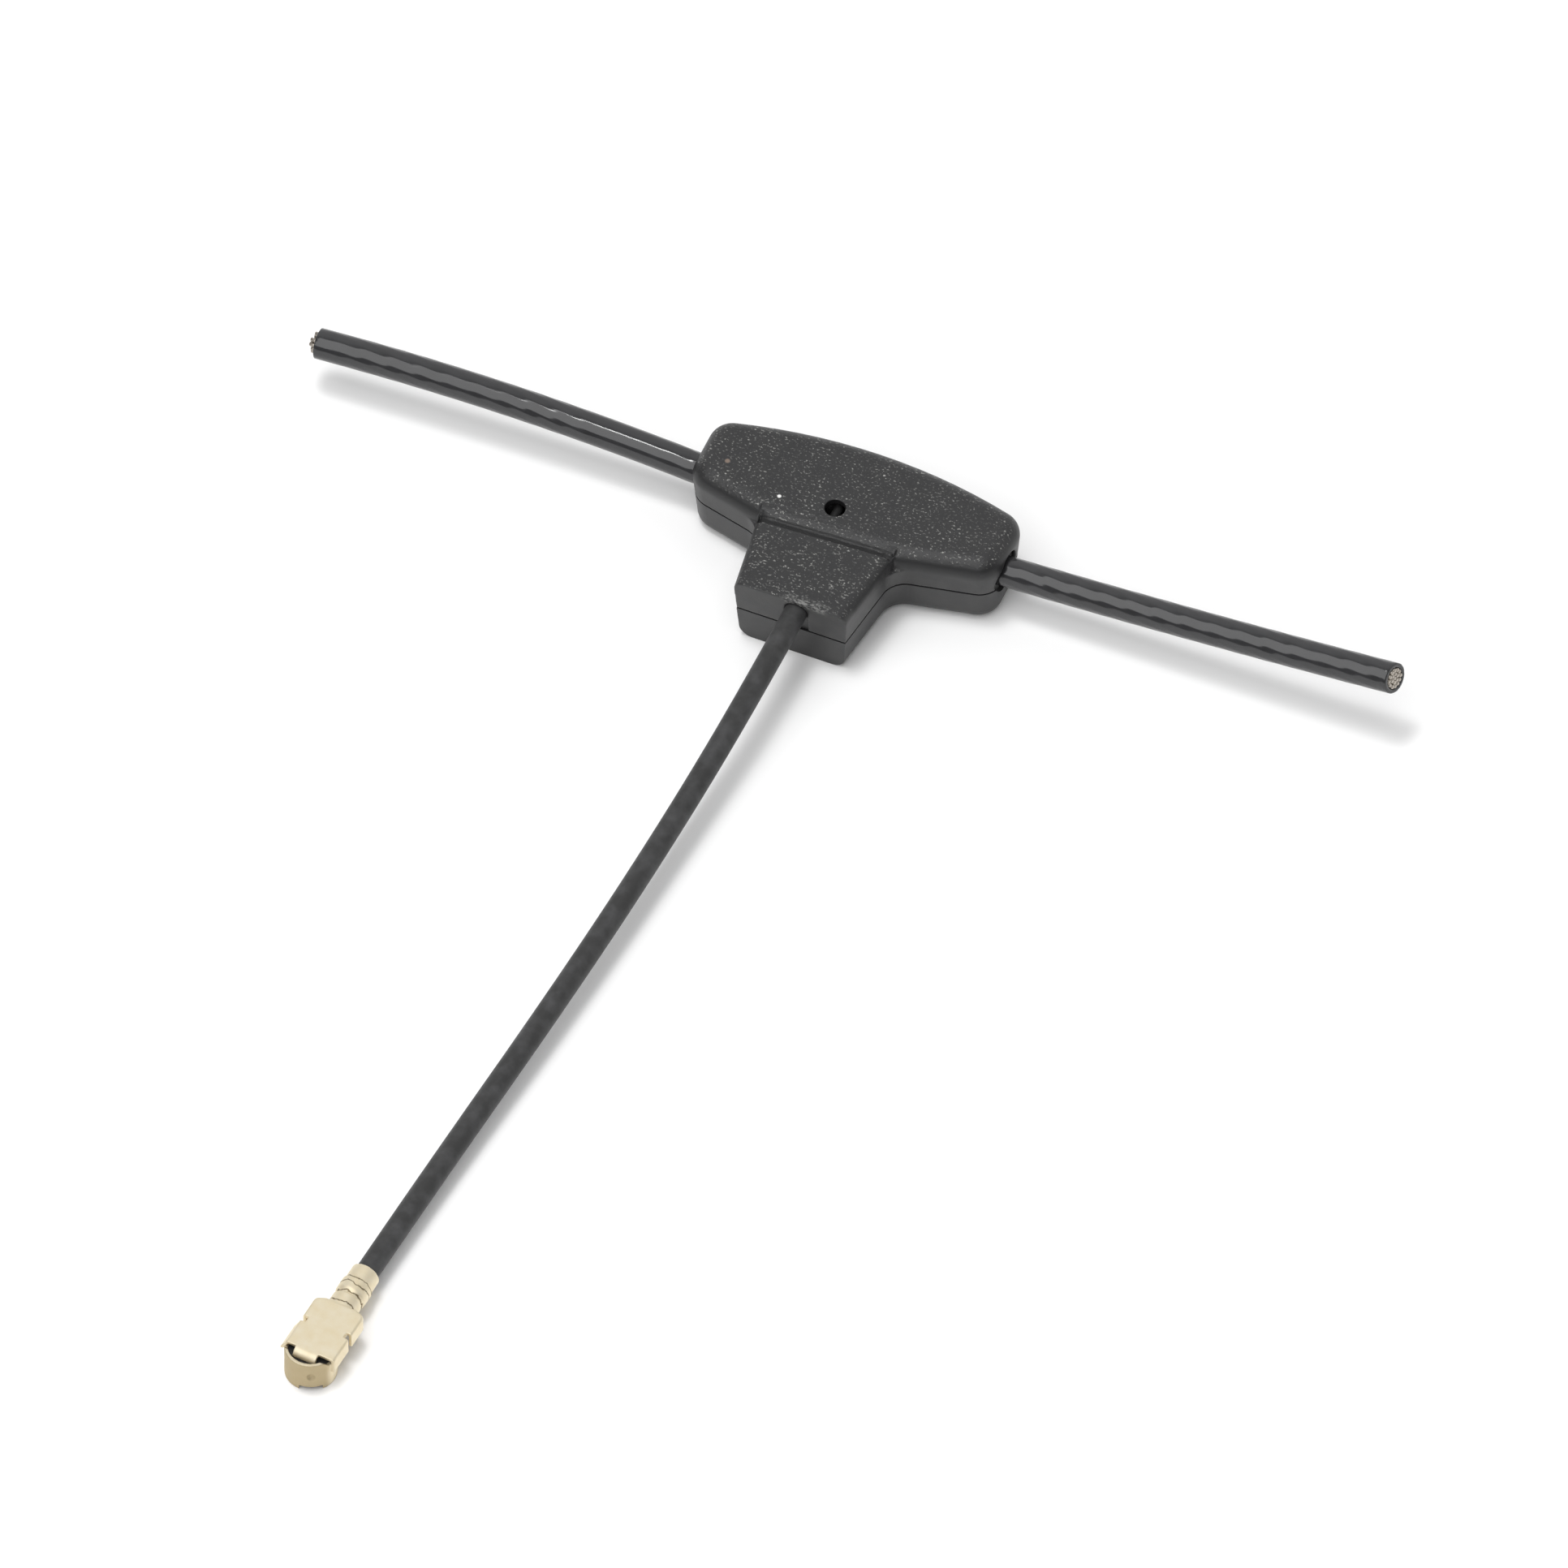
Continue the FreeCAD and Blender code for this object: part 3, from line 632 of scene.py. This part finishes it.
# The same polymer without pigment: milky white
CABLE_INSULATION = SatinPolymer("fluoropolymer_extruded_core", "#d8d5cc", "#e6e3da")
# Moulded crystal polymer: dense and nearly black
PLUG_POLYMER = SatinPolymer("crystal_polymer_moulded_black", "#131314", "#1d1d1e", roughness=0.55, ior=1.6)
# Painted shade: the leads inside get an even black, so the hole in the top looks dark
HOLE_SHADE_BLACK = SatinPolymer("leads_painted_hole_shade", "#202020", "#262626", roughness=0.6, ior=1.5)
# Gold plate on stamped bronze: pale and satin, with painted shade at the ring's front, which reflects
# the shaded table, and in the creases
GOLD_PLATE = WorkedMetal("gold_plated_bronze_stamped", "#faf2de", "#f0e2c0", 0.5, 0.55, 0.12, 0.07, 0.004,
                         wear_and_shade_colour="#c3b493", shaded_front_middle=PLUG_MIDDLE, shaded_front_radius=1.0,
                         axis=(0.0872, 0.9962, 0.0), creases=(3.0, 3.7, 4.2, 4.55))
# Drawn and tinned copper: bright strands with dull grey patches
TINNED_WIRE = WorkedMetal("tinned_copper_drawn", "#d0c9bf", "#938b82", 0.2, 0.3, 0.2, 0.05, 0.003)


def dress(finishes: Mapping[str, Finish]) -> None:
    """Gives CAD nodes their finishes.

    Args:
        finishes: The finish of each node.
    """
    for name, finish in finishes.items():
        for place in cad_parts[name].material_slots:
            place.material = finish.material()
        LOG.info("dressed %s", name)


# Studio


@dataclass(frozen=True)
class Studio:
    """Floor, lamps and camera. The camera looks down from the front right with a long lens."""

    azimuth: float = 23.1
    elevation: float = 51.69
    distance: float = 3.2
    sensor: float = 36.0
    clip_near: float = 0.1
    clip_far: float = 40.0
    frame_width: float = 73.71 * MM
    aim: tuple[float, float, float] = (2.44 * MM, -14.08 * MM, 0.0)
    floor_size: float = 6.0
    floor_gap: float = 0.01 * MM
    floor_colour: str = "#f8f8f8"
    floor_lift: float = 0.015
    floor_roughness: float = 0.9
    floor_gloss: float = 0.1
    white: str = "#ffffff"
    room_level: float = 0.075
    backdrop_level: float = 0.72
    backdrop_from: float = -0.1
    backdrop_full: float = 0.5
    key_towards: tuple[float, float, float] = (-0.15, -0.03, 1.0)
    key_distance: float = 0.5
    key_diameter: float = 0.16
    key_level: float = 0.32
    bulb_distance: float = 0.45
    bulb_diameter: float = 0.04
    bulb_level: float = 0.055
    panel_towards: tuple[float, float, float] = (-0.12, -0.52, 0.86)
    panel_distance: float = 0.6
    panel_size: tuple[float, float] = (0.62, 0.7)
    panel_radiance: float = 2.17

    def build(self) -> None:
        """Makes everything that isn't the antenna."""
        self.place_camera()
        self.lay_floor()
        self.light_world()
        key = self.hang_lamp("key_lamp", self.key_towards, self.key_distance,
                             (self.key_diameter, self.key_diameter), LampShape.DISC,
                             self.disc_power(self.key_level, self.key_distance))
        key.visible_glossy = False
        self.hang_lamp("key_bulb", self.key_towards, self.bulb_distance,
                       (self.bulb_diameter, self.bulb_diameter), LampShape.DISC,
                       self.disc_power(self.bulb_level, self.bulb_distance))
        width, height = self.panel_size
        self.hang_lamp("front_panel", self.panel_towards, self.panel_distance, self.panel_size,
                       LampShape.PANEL, self.panel_radiance * math.pi * width * height)

    def disc_power(self, level: float, distance: float) -> float:
        """Power in watts of a disc lamp that lights a white card at a distance to a level."""
        return level * (math.pi * distance) ** 2

    def place_camera(self) -> None:
        """Sets the camera at the photograph's angle and framing."""
        turn = math.radians(self.azimuth)
        rise = math.radians(self.elevation)
        back = Vector((math.sin(turn) * math.cos(rise), -math.cos(turn) * math.cos(rise), math.sin(rise)))
        data = bpy.data.cameras.new("camera")
        data.sensor_width = self.sensor
        data.lens = self.sensor * self.distance / self.frame_width
        data.clip_start = self.clip_near
        data.clip_end = self.clip_far
        camera = bpy.data.objects.new("camera", data)
        camera.location = Vector(self.aim) + back * self.distance
        camera.rotation_euler = back.to_track_quat("Z", "Y").to_euler()
        bpy.context.scene.collection.objects.link(camera)
        bpy.context.scene.camera = camera

    def lay_floor(self) -> None:
        """Lays a white table under the antenna, which keeps its shadow."""
        mesh = bpy.data.meshes.new("table")
        half = self.floor_size / 2
        corners = [(-half, -half), (half, -half), (half, half), (-half, half)]
        mesh.from_pydata([(x, y, -self.floor_gap) for x, y in corners], [], [(0, 1, 2, 3)])
        table = bpy.data.objects.new("table", mesh)
        bpy.context.scene.collection.objects.link(table)
        material = bpy.data.materials.new("white_card")
        material.use_nodes = True
        tree = material.node_tree
        shader = tree.nodes["Principled BSDF"]
        shader.inputs["Base Color"].default_value = linear(self.floor_colour)
        shader.inputs["Roughness"].default_value = self.floor_roughness
        shader.inputs["Specular IOR Level"].default_value = self.floor_gloss
        shader.inputs["Emission Color"].default_value = linear(self.white)
        seen = add_node(tree, "ShaderNodeLightPath").outputs["Is Camera Ray"]
        lift = add_node(tree, "ShaderNodeMath", {"operation": "MULTIPLY"}, {0: seen, 1: self.floor_lift})
        tree.links.new(lift.outputs[0], shader.inputs["Emission Strength"])
        mesh.materials.append(material)

    def light_world(self) -> None:
        """Fills the room with soft light from a pale backdrop, which the camera sees as white."""
        world = bpy.data.worlds.new("room")
        world.use_nodes = True
        tree = world.node_tree
        room = tree.nodes["Background"]
        seen = add_node(tree, "ShaderNodeLightPath").outputs["Is Camera Ray"]
        way = add_node(tree, "ShaderNodeTexCoord").outputs["Generated"]
        behind = add_node(tree, "ShaderNodeSeparateXYZ", {}, {0: way}).outputs["Y"]
        soft = add_node(tree, "ShaderNodeMapRange", {"interpolation_type": "SMOOTHSTEP"},
                        {"Value": behind, "From Min": self.backdrop_from, "From Max": self.backdrop_full,
                         "To Min": self.room_level, "To Max": self.backdrop_level}).outputs[0]
        level = add_node(tree, "ShaderNodeMapRange", {}, {"Value": seen, "To Min": soft, "To Max": 1.0})
        room.inputs["Color"].default_value = linear(self.white)
        tree.links.new(level.outputs[0], room.inputs["Strength"])
        bpy.context.scene.world = world

    def hang_lamp(self, name: str, towards: Sequence[float], distance: float, size: Sequence[float],
                  shape: LampShape, power: float) -> bpy.types.Object:
        """Hangs a soft lamp that faces the antenna.

        Args:
            name: The lamp's name.
            towards: The way from the antenna to the lamp.
            distance: How far away it hangs.
            size: Its width and height.
            shape: Its shape.
            power: Its power in watts.

        Returns:
            The lamp.
        """
        data = bpy.data.lights.new(name, "AREA")
        data.shape = shape.value
        data.size, data.size_y = size
        data.energy = power
        lamp = bpy.data.objects.new(name, data)
        way = Vector(towards).normalized()
        lamp.location = way * distance
        lamp.rotation_euler = way.to_track_quat("Z", "Y").to_euler()
        bpy.context.scene.collection.objects.link(lamp)
        return lamp


# Feed cable


@dataclass(frozen=True)
class FeedCable:
    """The thin coaxial cable from its strip point in the stem to its strip point in the plug."""

    diameter: float = 1.13 * MM
    length: float = 47.0 * MM
    bevel_steps: int = 10
    curve_steps: int = 40
    route: tuple[tuple[float, float, float], ...] = (
        (-0.05 * MM, -4.4 * MM, 3.35 * MM),
        (-0.05 * MM, -10.2 * MM, 3.35 * MM),
        (-0.67 * MM, -18.6 * MM, 2.15 * MM),
        (-1.57 * MM, -29.49 * MM, 1.7 * MM),
        (-3.285 * MM, -44.34 * MM, 1.13 * MM),
        (-3.878 * MM, -51.114 * MM, 1.13 * MM),
    )

    def build(self, plug_pieces: Sequence[bpy.types.Object]) -> bpy.types.Object:
        """Args:
            plug_pieces: The pieces of the plug on its far end; not used.

        Returns:
            The jacket.
        """
        curve = bpy.data.curves.new("feed_cable_jacket", "CURVE")
        curve.dimensions = "3D"
        curve.bevel_depth = self.diameter / 2
        curve.bevel_resolution = self.bevel_steps
        curve.resolution_u = self.curve_steps
        curve.use_fill_caps = True
        spline = curve.splines.new("NURBS")
        spline.points.add(len(self.route) - 1)
        for point, place in zip(spline.points, self.route):
            point.co = (*place, 1.0)
        spline.order_u = 3
        spline.use_endpoint_u = True
        spline.use_smooth = True
        curve.materials.append(CABLE_JACKET.material())
        jacket = new_piece("feed_cable_jacket", curve, Slot.JACKET, "feed_cable")
        return jacket


# Arms


@dataclass(frozen=True)
class Arm:
    """One sleeved wire arm, in millimetres until its meshes are made.

    The wire is a bundle of tinned strands laid in two rings round a middle one. Their lay shows through the
    sleeve as a slight wave that turns round it.
    """

    side: Side
    exit_rise: float
    tip_rise: float
    bow_roll: float
    reach: float
    overhang: float = 0.0
    cut_angle: float = 0.0
    cut_roll: float = 0.0
    seed: int = 1
    height: float = 2.45
    bar_half: float = 7.9
    bend_radius: float = 6.0
    slope_step: float = 0.01
    diameter: float = 1.5
    bore: float = 1.08
    bore_lip: float = 0.02
    bore_steps: int = 24
    edge_round: float = 0.05
    edge_share: float = 0.3
    nick: float = 0.012
    slant_reach: float = 2.0
    sleeve_start: float = 2.6
    ring_step: float = 0.16
    ring_sides: int = 96
    wave: float = 0.005
    wave_mean: float = 0.55
    wave_swing: float = 0.9
    wave_pace: float = 0.35
    wave_seed_step: float = 3.1
    lump_share: float = 0.6
    lump_pace: float = 0.5
    lump_turn: float = 1.2
    bundle: float = 1.04
    strands_across: int = 5
    inner_strands: int = 6
    outer_strands: int = 12
    wire_start: float = 0.85
    lay_length: float = 16.8
    strand_step: float = 0.3
    strand_sides: int = 10
    strand_seed_step: int = 10
    overhang_scatter: tuple[float, float] = (-0.09, 0.03)
    cut_scatter: float = 0.025
    tip_size: float = 0.72
    tip_round: float = 0.03

    @property
    def label(self) -> str:
        """The arm's side in words."""
        return self.side.name.lower()

    @property
    def length(self) -> float:
        """Length of the centre line from the housing's middle to the sleeve's end."""
        exit_angle, tip_angle = math.radians(self.exit_rise), math.radians(self.tip_rise)
        return self.bar_half + self.bend_radius * exit_angle + self.bow_radius * (tip_angle - exit_angle)

    @property
    def bow_radius(self) -> float:
        """Radius of the long bow, negative where it bends down."""
        exit_angle, tip_angle = math.radians(self.exit_rise), math.radians(self.tip_rise)
        start = self.bar_half + self.bend_radius * math.sin(exit_angle)
        return (self.reach - start) / (math.sin(tip_angle) - math.sin(exit_angle))

    def point(self, along: float) -> Vector:
        """Point of the centre line.

        Args:
            along: Distance along it from the housing's middle.

        Returns:
            The point in millimetres.
        """
        exit_angle = math.radians(self.exit_rise)
        bend_length = self.bend_radius * exit_angle
        sign = self.side.value
        if along <= self.bar_half:
            return Vector((sign * along, 0.0, self.height))
        angle = min((along - self.bar_half) / self.bend_radius, exit_angle)
        x = self.bar_half + self.bend_radius * math.sin(angle)
        z = self.height + self.bend_radius * (1 - math.cos(angle))
        corner = Vector((sign * x, 0.0, z))
        rest = along - self.bar_half - bend_length
        if rest <= 0:
            return corner
        radius = self.bow_radius
        angle = exit_angle + rest / radius
        step = Vector((sign * radius * (math.sin(angle) - math.sin(exit_angle)), 0.0,
                       radius * (math.cos(exit_angle) - math.cos(angle))))
        axis = Vector((sign * math.cos(exit_angle), 0.0, math.sin(exit_angle)))
        return corner + Matrix.Rotation(math.radians(-sign * self.bow_roll), 3, axis) @ step

    def axes(self, along: float) -> tuple[Vector, Vector, Vector, Vector]:
        """Point of the centre line with the way along it and two ways across it.

        Args:
            along: Distance along it from the housing's middle.

        Returns:
            The point, the way along, and the two ways across.
        """
        here = self.point(along)
        forward = (self.point(along + self.slope_step) - self.point(along - self.slope_step)).normalized()
        across = Vector((0.0, 1.0, 0.0))
        across = (across - forward * across.dot(forward)).normalized()
        return here, forward, across, forward.cross(across)

    def cut_shift(self, offset: Vector) -> float:
        """How far along the arm the slanted cut moves the end of a line beside the centre line.

        Args:
            offset: The line's place beside the centre line.

        Returns:
            The distance, zero for a square cut.
        """
        if not self.cut_angle:
            return 0.0
        angle, roll = math.radians(self.cut_angle), math.radians(self.cut_roll)
        facing = Vector((math.cos(angle), -math.sin(angle) * math.cos(roll),
                         math.sin(angle) * math.sin(roll)))
        _, forward, _, _ = self.axes(self.length)
        return -facing.dot(offset) / facing.dot(forward)

    def skin_radius(self, along: float, turn: float) -> float:
        """Outer radius of the sleeve, with the strands' lay showing through.

        Args:
            along: Distance along the centre line.
            turn: Angle round it.

        Returns:
            The radius.
        """
        lay = 2 * math.pi * along / self.lay_length
        drift = noise.noise(Vector((along * self.wave_pace, self.seed * self.wave_seed_step, 0.0)))
        strength = self.wave_mean + self.wave_swing * drift
        ripple = self.wave * strength * math.cos(self.outer_strands * (turn - lay))
        spot = Vector((along * self.lump_pace, math.cos(turn) * self.lump_turn,
                       math.sin(turn) * self.lump_turn + self.seed))
        lump = self.lump_share * self.wave * noise.noise(spot)
        return self.diameter / 2 + ripple + lump

    def ring(self, along: float, radius: Callable[[float], float], slant: float) -> list[Vector]:
        """Points of one ring of the sleeve round the centre line.

        Args:
            along: Distance along the centre line.
            radius: The radius at an angle.
            slant: How much of the cut's slant the ring takes.

        Returns:
            The points in metres.
        """
        points = []
        for i in range(self.ring_sides):
            turn = 2 * math.pi * i / self.ring_sides
            _, _, across, over = self.axes(self.length)
            end_offset = (across * math.cos(turn) + over * math.sin(turn)) * radius(turn)
            here, _, across, over = self.axes(along + slant * self.cut_shift(end_offset))
            points.append((here + (across * math.cos(turn) + over * math.sin(turn)) * radius(turn)) * MM)
        return points

    def build_sleeve(self) -> bpy.types.Object:
        """Makes the sleeve: a waved tube with a bore and softened cut edges."""
        end = self.length
        count = math.ceil((end - self.sleeve_start) / self.ring_step)
        rings = []
        for i in range(count):
            along = self.sleeve_start + (end - self.edge_round - self.sleeve_start) * i / (count - 1)
            slant = max(0.0, 1 - (end - along) / self.slant_reach)
            rings.append(self.ring(along, partial(self.skin_radius, along), slant))
        rings += self.cut_rings()
        bore_end = end - self.slant_reach
        for i in range(self.bore_steps + 1):
            along = bore_end - (bore_end - self.sleeve_start) * i / self.bore_steps
            rings.append(self.ring(along, lambda turn: self.bore / 2, 0.0))
        mesh = self.mesh_of([rings], closed=True)
        mesh.materials.append(GLOSS_PVC.material())
        return new_piece(f"{self.label}_arm_sleeve", mesh, Slot.SLEEVE, f"{self.label}_arm_insulation")

    def cut_rings(self) -> list[list[Vector]]:
        """Rings of the sleeve's cut end, from its outer edge to its bore, with small nicks.

        Returns:
            The rings in metres.
        """
        rough = random.Random(self.seed)
        nicks = [rough.uniform(-self.nick, self.nick) for _ in range(self.ring_sides)]

        def nicked(radius: float, turn: float) -> float:
            """The radius at an angle, with the nick there."""
            return radius + nicks[round(turn / (2 * math.pi) * self.ring_sides) % self.ring_sides]

        end, outer, bore = self.length, self.diameter / 2, self.bore / 2
        corner = self.edge_share * self.edge_round
        return [
            self.ring(end - corner, partial(nicked, outer - corner), 1.0),
            self.ring(end, partial(nicked, outer - self.edge_round), 1.0),
            self.ring(end, partial(nicked, bore + self.bore_lip), 1.0),
            self.ring(end - self.bore_lip, lambda turn: bore, 1.0),
        ]

    def build_strands(self) -> bpy.types.Object:
        """Makes the bundle of strands, each cut off where the wire ends."""
        rough = random.Random(self.seed + self.strand_seed_step)
        strand = self.bundle / self.strands_across
        inner, outer = self.inner_strands, self.outer_strands
        places = [(0.0, 0.0)]
        places += [(strand, 2 * math.pi * k / inner) for k in range(inner)]
        places += [(2 * strand, 2 * math.pi * (k + 0.5) / outer) for k in range(outer)]
        tubes = []
        for ring_radius, start in places:
            scatter = rough.uniform(*self.overhang_scatter) if self.overhang else 0.0
            last = self.length + self.overhang + scatter
            jitter = rough.uniform(-self.cut_scatter, self.cut_scatter)
            tubes.append(self.strand_rings(ring_radius, start, strand / 2, last, jitter))
        mesh = self.mesh_of(tubes, closed=False)
        mesh.materials.append(TINNED_WIRE.material())
        return new_piece(f"{self.label}_arm_strands", mesh, Slot.WIRE, f"{self.label}_arm_conductor")

    def strand_rings(self, ring_radius: float, start: float, radius: float, last: float,
                     jitter: float) -> list[list[Vector]]:
        """Rings of one strand from the feed point to its cut end.

        Args:
            ring_radius: The strand's distance from the bundle's middle.
            start: Its angle there.
            radius: Its own radius.
            last: Where it ends along the centre line.
            jitter: How much further it is cut off.

        Returns:
            The rings in metres.
        """
        count = math.ceil((last - self.wire_start) / self.strand_step)
        rings = []
        for i in range(count + 2):
            along = self.wire_start + (last - self.wire_start) * min(i, count) / count
            here, forward, across, over = self.axes(along)
            turn = start + 2 * math.pi * along / self.lay_length
            middle = (across * math.cos(turn) + over * math.sin(turn)) * ring_radius
            size = radius * (self.tip_size if i > count else 1.0)
            ahead = self.tip_round if i > count else 0.0
            ring = []
            for k in range(self.strand_sides):
                angle = 2 * math.pi * k / self.strand_sides
                offset = middle + (across * math.cos(angle) + over * math.sin(angle)) * size
                shift = ahead + (self.cut_shift(offset) + jitter if i >= count else 0.0)
                ring.append((here + offset + forward * shift) * MM)
            rings.append(ring)
        return rings

    def mesh_of(self, tubes: Sequence[Sequence[Sequence[Vector]]], closed: bool) -> bpy.types.Mesh:
        """Joins rings of points into tubes.

        Args:
            tubes: The rings of each tube, in order.
            closed: Whether a tube's last ring joins its first, as in a pipe's wall, or both ends are capped.

        Returns:
            A smooth mesh with outward faces.
        """
        shape = bmesh.new()
        for rings in tubes:
            rows = [[shape.verts.new(point) for point in ring] for ring in rings]
            pairs = list(zip(rows, rows[1:] + rows[:1])) if closed else list(zip(rows, rows[1:]))
            for row, following in pairs:
                for i in range(len(row)):
                    k = (i + 1) % len(row)
                    shape.faces.new((row[i], row[k], following[k], following[i]))
            if not closed:
                shape.faces.new(rows[0])
                shape.faces.new(rows[-1])
        bmesh.ops.recalc_face_normals(shape, faces=shape.faces)
        for face in shape.faces:
            face.smooth = len(face.verts) == 4
        mesh = bpy.data.meshes.new(f"{self.label}_arm")
        shape.to_mesh(mesh)
        shape.free()
        return mesh


# Pieces formed from their solids


@dataclass(frozen=True)
class RolledSkin:
    """Turns a solid's mesh, in millimetres, into an even skin with softly rolled edges."""

    voxel: float
    rounds: int
    kept_faces: float
    softening: float = 0.5

    def even(self, mesh: bpy.types.Mesh) -> bpy.types.Mesh:
        """Gives a mesh small faces of one size."""
        return modified(mesh, ("REMESH", {"mode": "VOXEL", "voxel_size": self.voxel}))

    def formed(self, mesh: bpy.types.Mesh, finish: Finish) -> bpy.types.Mesh:
        """Rolls the edges of an even mesh, thins out its faces and dresses it.

        Args:
            mesh: The even mesh in millimetres.
            finish: The finish that it takes.

        Returns:
            The resulting mesh in metres.
        """
        result = modified(mesh, ("SMOOTH", {"factor": self.softening, "iterations": self.rounds}),
                          ("DECIMATE", {"ratio": self.kept_faces}))
        result.transform(Matrix.Scale(MM, 4))
        result.shade_smooth()
        result.materials.clear()
        result.materials.append(finish.material())
        LOG.info("skin of %d faces", len(result.polygons))
        return result


@dataclass(frozen=True)
class Plug:
    """The miniature coaxial plug, in millimetres until its mesh is made.

    Its stamped shell gets the softly rolled edges of folded sheet metal.
    """

    skin: RolledSkin = RolledSkin(voxel=0.03, rounds=5, kept_faces=0.5)
    ring_middle: tuple[float, float] = PLUG_MIDDLE
    turn: float = 5.0
    ring_bore: float = 1.0
    ring_rim: float = 1.5
    rise_from: float = 1.2
    rise: float = 0.35
    rise_start: float = 0.4
    rise_length: float = 0.3

    def build(self) -> list[bpy.types.Object]:
        """Makes the shell and dresses the plug's inner pieces.

        Returns:
            All the plug's pieces.
        """
        shell = self.build_shell()
        inner = {
            "plug_insulator": PLUG_POLYMER,
            "plug_contact": GOLD_PLATE,
            "plug_core": TINNED_WIRE,
            "plug_dielectric": CABLE_INSULATION,
            "plug_braid": TINNED_WIRE,
        }
        dress(inner)
        return [shell] + [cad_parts[name] for name in inner]

    def build_shell(self) -> bpy.types.Object:
        """Makes the shell from its solid, with the ring's front raised."""
        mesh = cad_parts["plug_shell"].data.copy()
        mesh.transform(Matrix.Scale(1 / MM, 4))
        mesh = self.skin.even(mesh)
        for vertex in mesh.vertices:
            vertex.co.z += self.front_rise(vertex.co)
        formed = self.skin.formed(mesh, GOLD_PLATE)
        return new_piece("plug_shell_formed", formed, Slot.GOLD, "plug_shell")

    def front_rise(self, place: Vector) -> float:
        """How far the ring's front stands above its solid, so that its rim closes up to the plate's tongue.

        Args:
            place: A point of the shell in millimetres.

        Returns:
            The rise, zero away from the ring's front.
        """
        across, along = place.x - self.ring_middle[0], place.y - self.ring_middle[1]
        if math.hypot(across, along) < self.ring_bore:
            return 0.0
        turn = math.radians(self.turn)
        ahead = -(across * math.sin(turn) + along * math.cos(turn))
        up = unit((place.z - self.rise_from) / (self.ring_rim - self.rise_from))
        forward = unit((ahead - self.rise_start) / self.rise_length)
        return self.rise * up * forward


@dataclass(frozen=True)
class Housing:
    """The moulded T with the joint inside it, in millimetres until its mesh is made.

    The top half gets the rolled edges of a moulding, and the groove at the root of the stem lies where the
    crossbar rolls down to it.
    """

    skin: RolledSkin = RolledSkin(voxel=0.045, rounds=6, kept_faces=0.3)
    bar_top: float = 4.2
    slot_low: tuple[float, float, float] = (-3.8, -2.31, 3.86)
    slot_high: tuple[float, float, float] = (3.06, -1.99, 4.15)
    groove_depth: float = 0.28
    groove_wall: float = 0.06
    groove_fade: float = 0.9
    roll_width: float = 0.45
    roll_depth: float = 0.13

    def build(self) -> None:
        """Makes the top half, and dresses the bottom half and the leads, painted black as the hole's shade.
        """
        self.build_top()
        dress({
            "lower_shell": SMOOTH_ABS,
            "feed_braid": HOLE_SHADE_BLACK,
            # Painted shade: the leads inside are black, so the hole above them looks dark
            "feed_dielectric": HOLE_SHADE_BLACK,
            "feed_core": HOLE_SHADE_BLACK,
            "left_solder_joint": HOLE_SHADE_BLACK,
            "right_solder_joint": HOLE_SHADE_BLACK,
        })

    def build_top(self) -> bpy.types.Object:
        """Makes the grained top half from its solid, with the groove in its true place."""
        mesh = self.skin.even(self.filled_solid())
        level = self.bar_top - self.groove_depth
        outside = [v.index for v in mesh.vertices if v.normal.z > 0 and v.co.z > level]
        for index in outside:
            place = mesh.vertices[index].co
            place.z -= self.sink(place.x, place.y)
        formed = self.skin.formed(mesh, GRAINED_ABS)
        return new_piece("upper_shell_formed", formed, Slot.GRAINED, "upper_shell")

    def filled_solid(self) -> bpy.types.Mesh:
        """Copies the top half's solid and fills its slot, which lies further back than the real groove.

        Returns:
            The mesh in millimetres.
        """
        shape = bmesh.new()
        shape.from_mesh(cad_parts["upper_shell"].data)
        bmesh.ops.scale(shape, vec=Vector((1, 1, 1)) / MM, verts=shape.verts)
        low, high = Vector(self.slot_low), Vector(self.slot_high)
        filler = Matrix.Translation((low + high) / 2) @ Matrix.Diagonal((*(high - low), 1.0))
        bmesh.ops.create_cube(shape, size=1.0, matrix=filler)
        mesh = bpy.data.meshes.new("top_half")
        shape.to_mesh(mesh)
        shape.free()
        return mesh

    def sink(self, x: float, y: float) -> float:
        """How far the groove lowers the top.

        Args:
            x: Place along the crossbar.
            y: Place across it.

        Returns:
            The drop, zero away from the groove.
        """
        inside = min(x - GROOVE.left, GROOVE.right - x)
        if inside <= 0:
            return 0.0
        side = y - GROOVE.middle - GROOVE.slope * x
        trough = unit((GROOVE.half + self.groove_wall - abs(side)) / self.groove_wall)
        share = unit(1 - (side - GROOVE.half) / self.roll_width)
        roll = share * share * (3 - 2 * share) if side > 0 else 0.0
        return max(self.groove_depth * trough, self.roll_depth * roll) * min(1.0, inside / self.groove_fade)


# Whole antenna


def main() -> None:
    """Builds the scene in order."""
    logging.basicConfig(level=logging.INFO)
    bpy.context.scene.view_settings.view_transform = "Standard"
    Studio().build()
    plug_pieces = Plug().build()
    FeedCable().build(plug_pieces)
    Housing().build()
    left = Arm(Side.LEFT, exit_rise=4.9, tip_rise=-3.0, bow_roll=17.0, reach=27.3, overhang=0.25, seed=3)
    right = Arm(Side.RIGHT, exit_rise=3.5, tip_rise=6.3, bow_roll=0.0, reach=27.65, cut_angle=19.0,
                cut_roll=54.0, seed=8)
    for arm in (left, right):
        arm.build_sleeve()
        arm.build_strands()


if __name__ == "__main__":
    main()
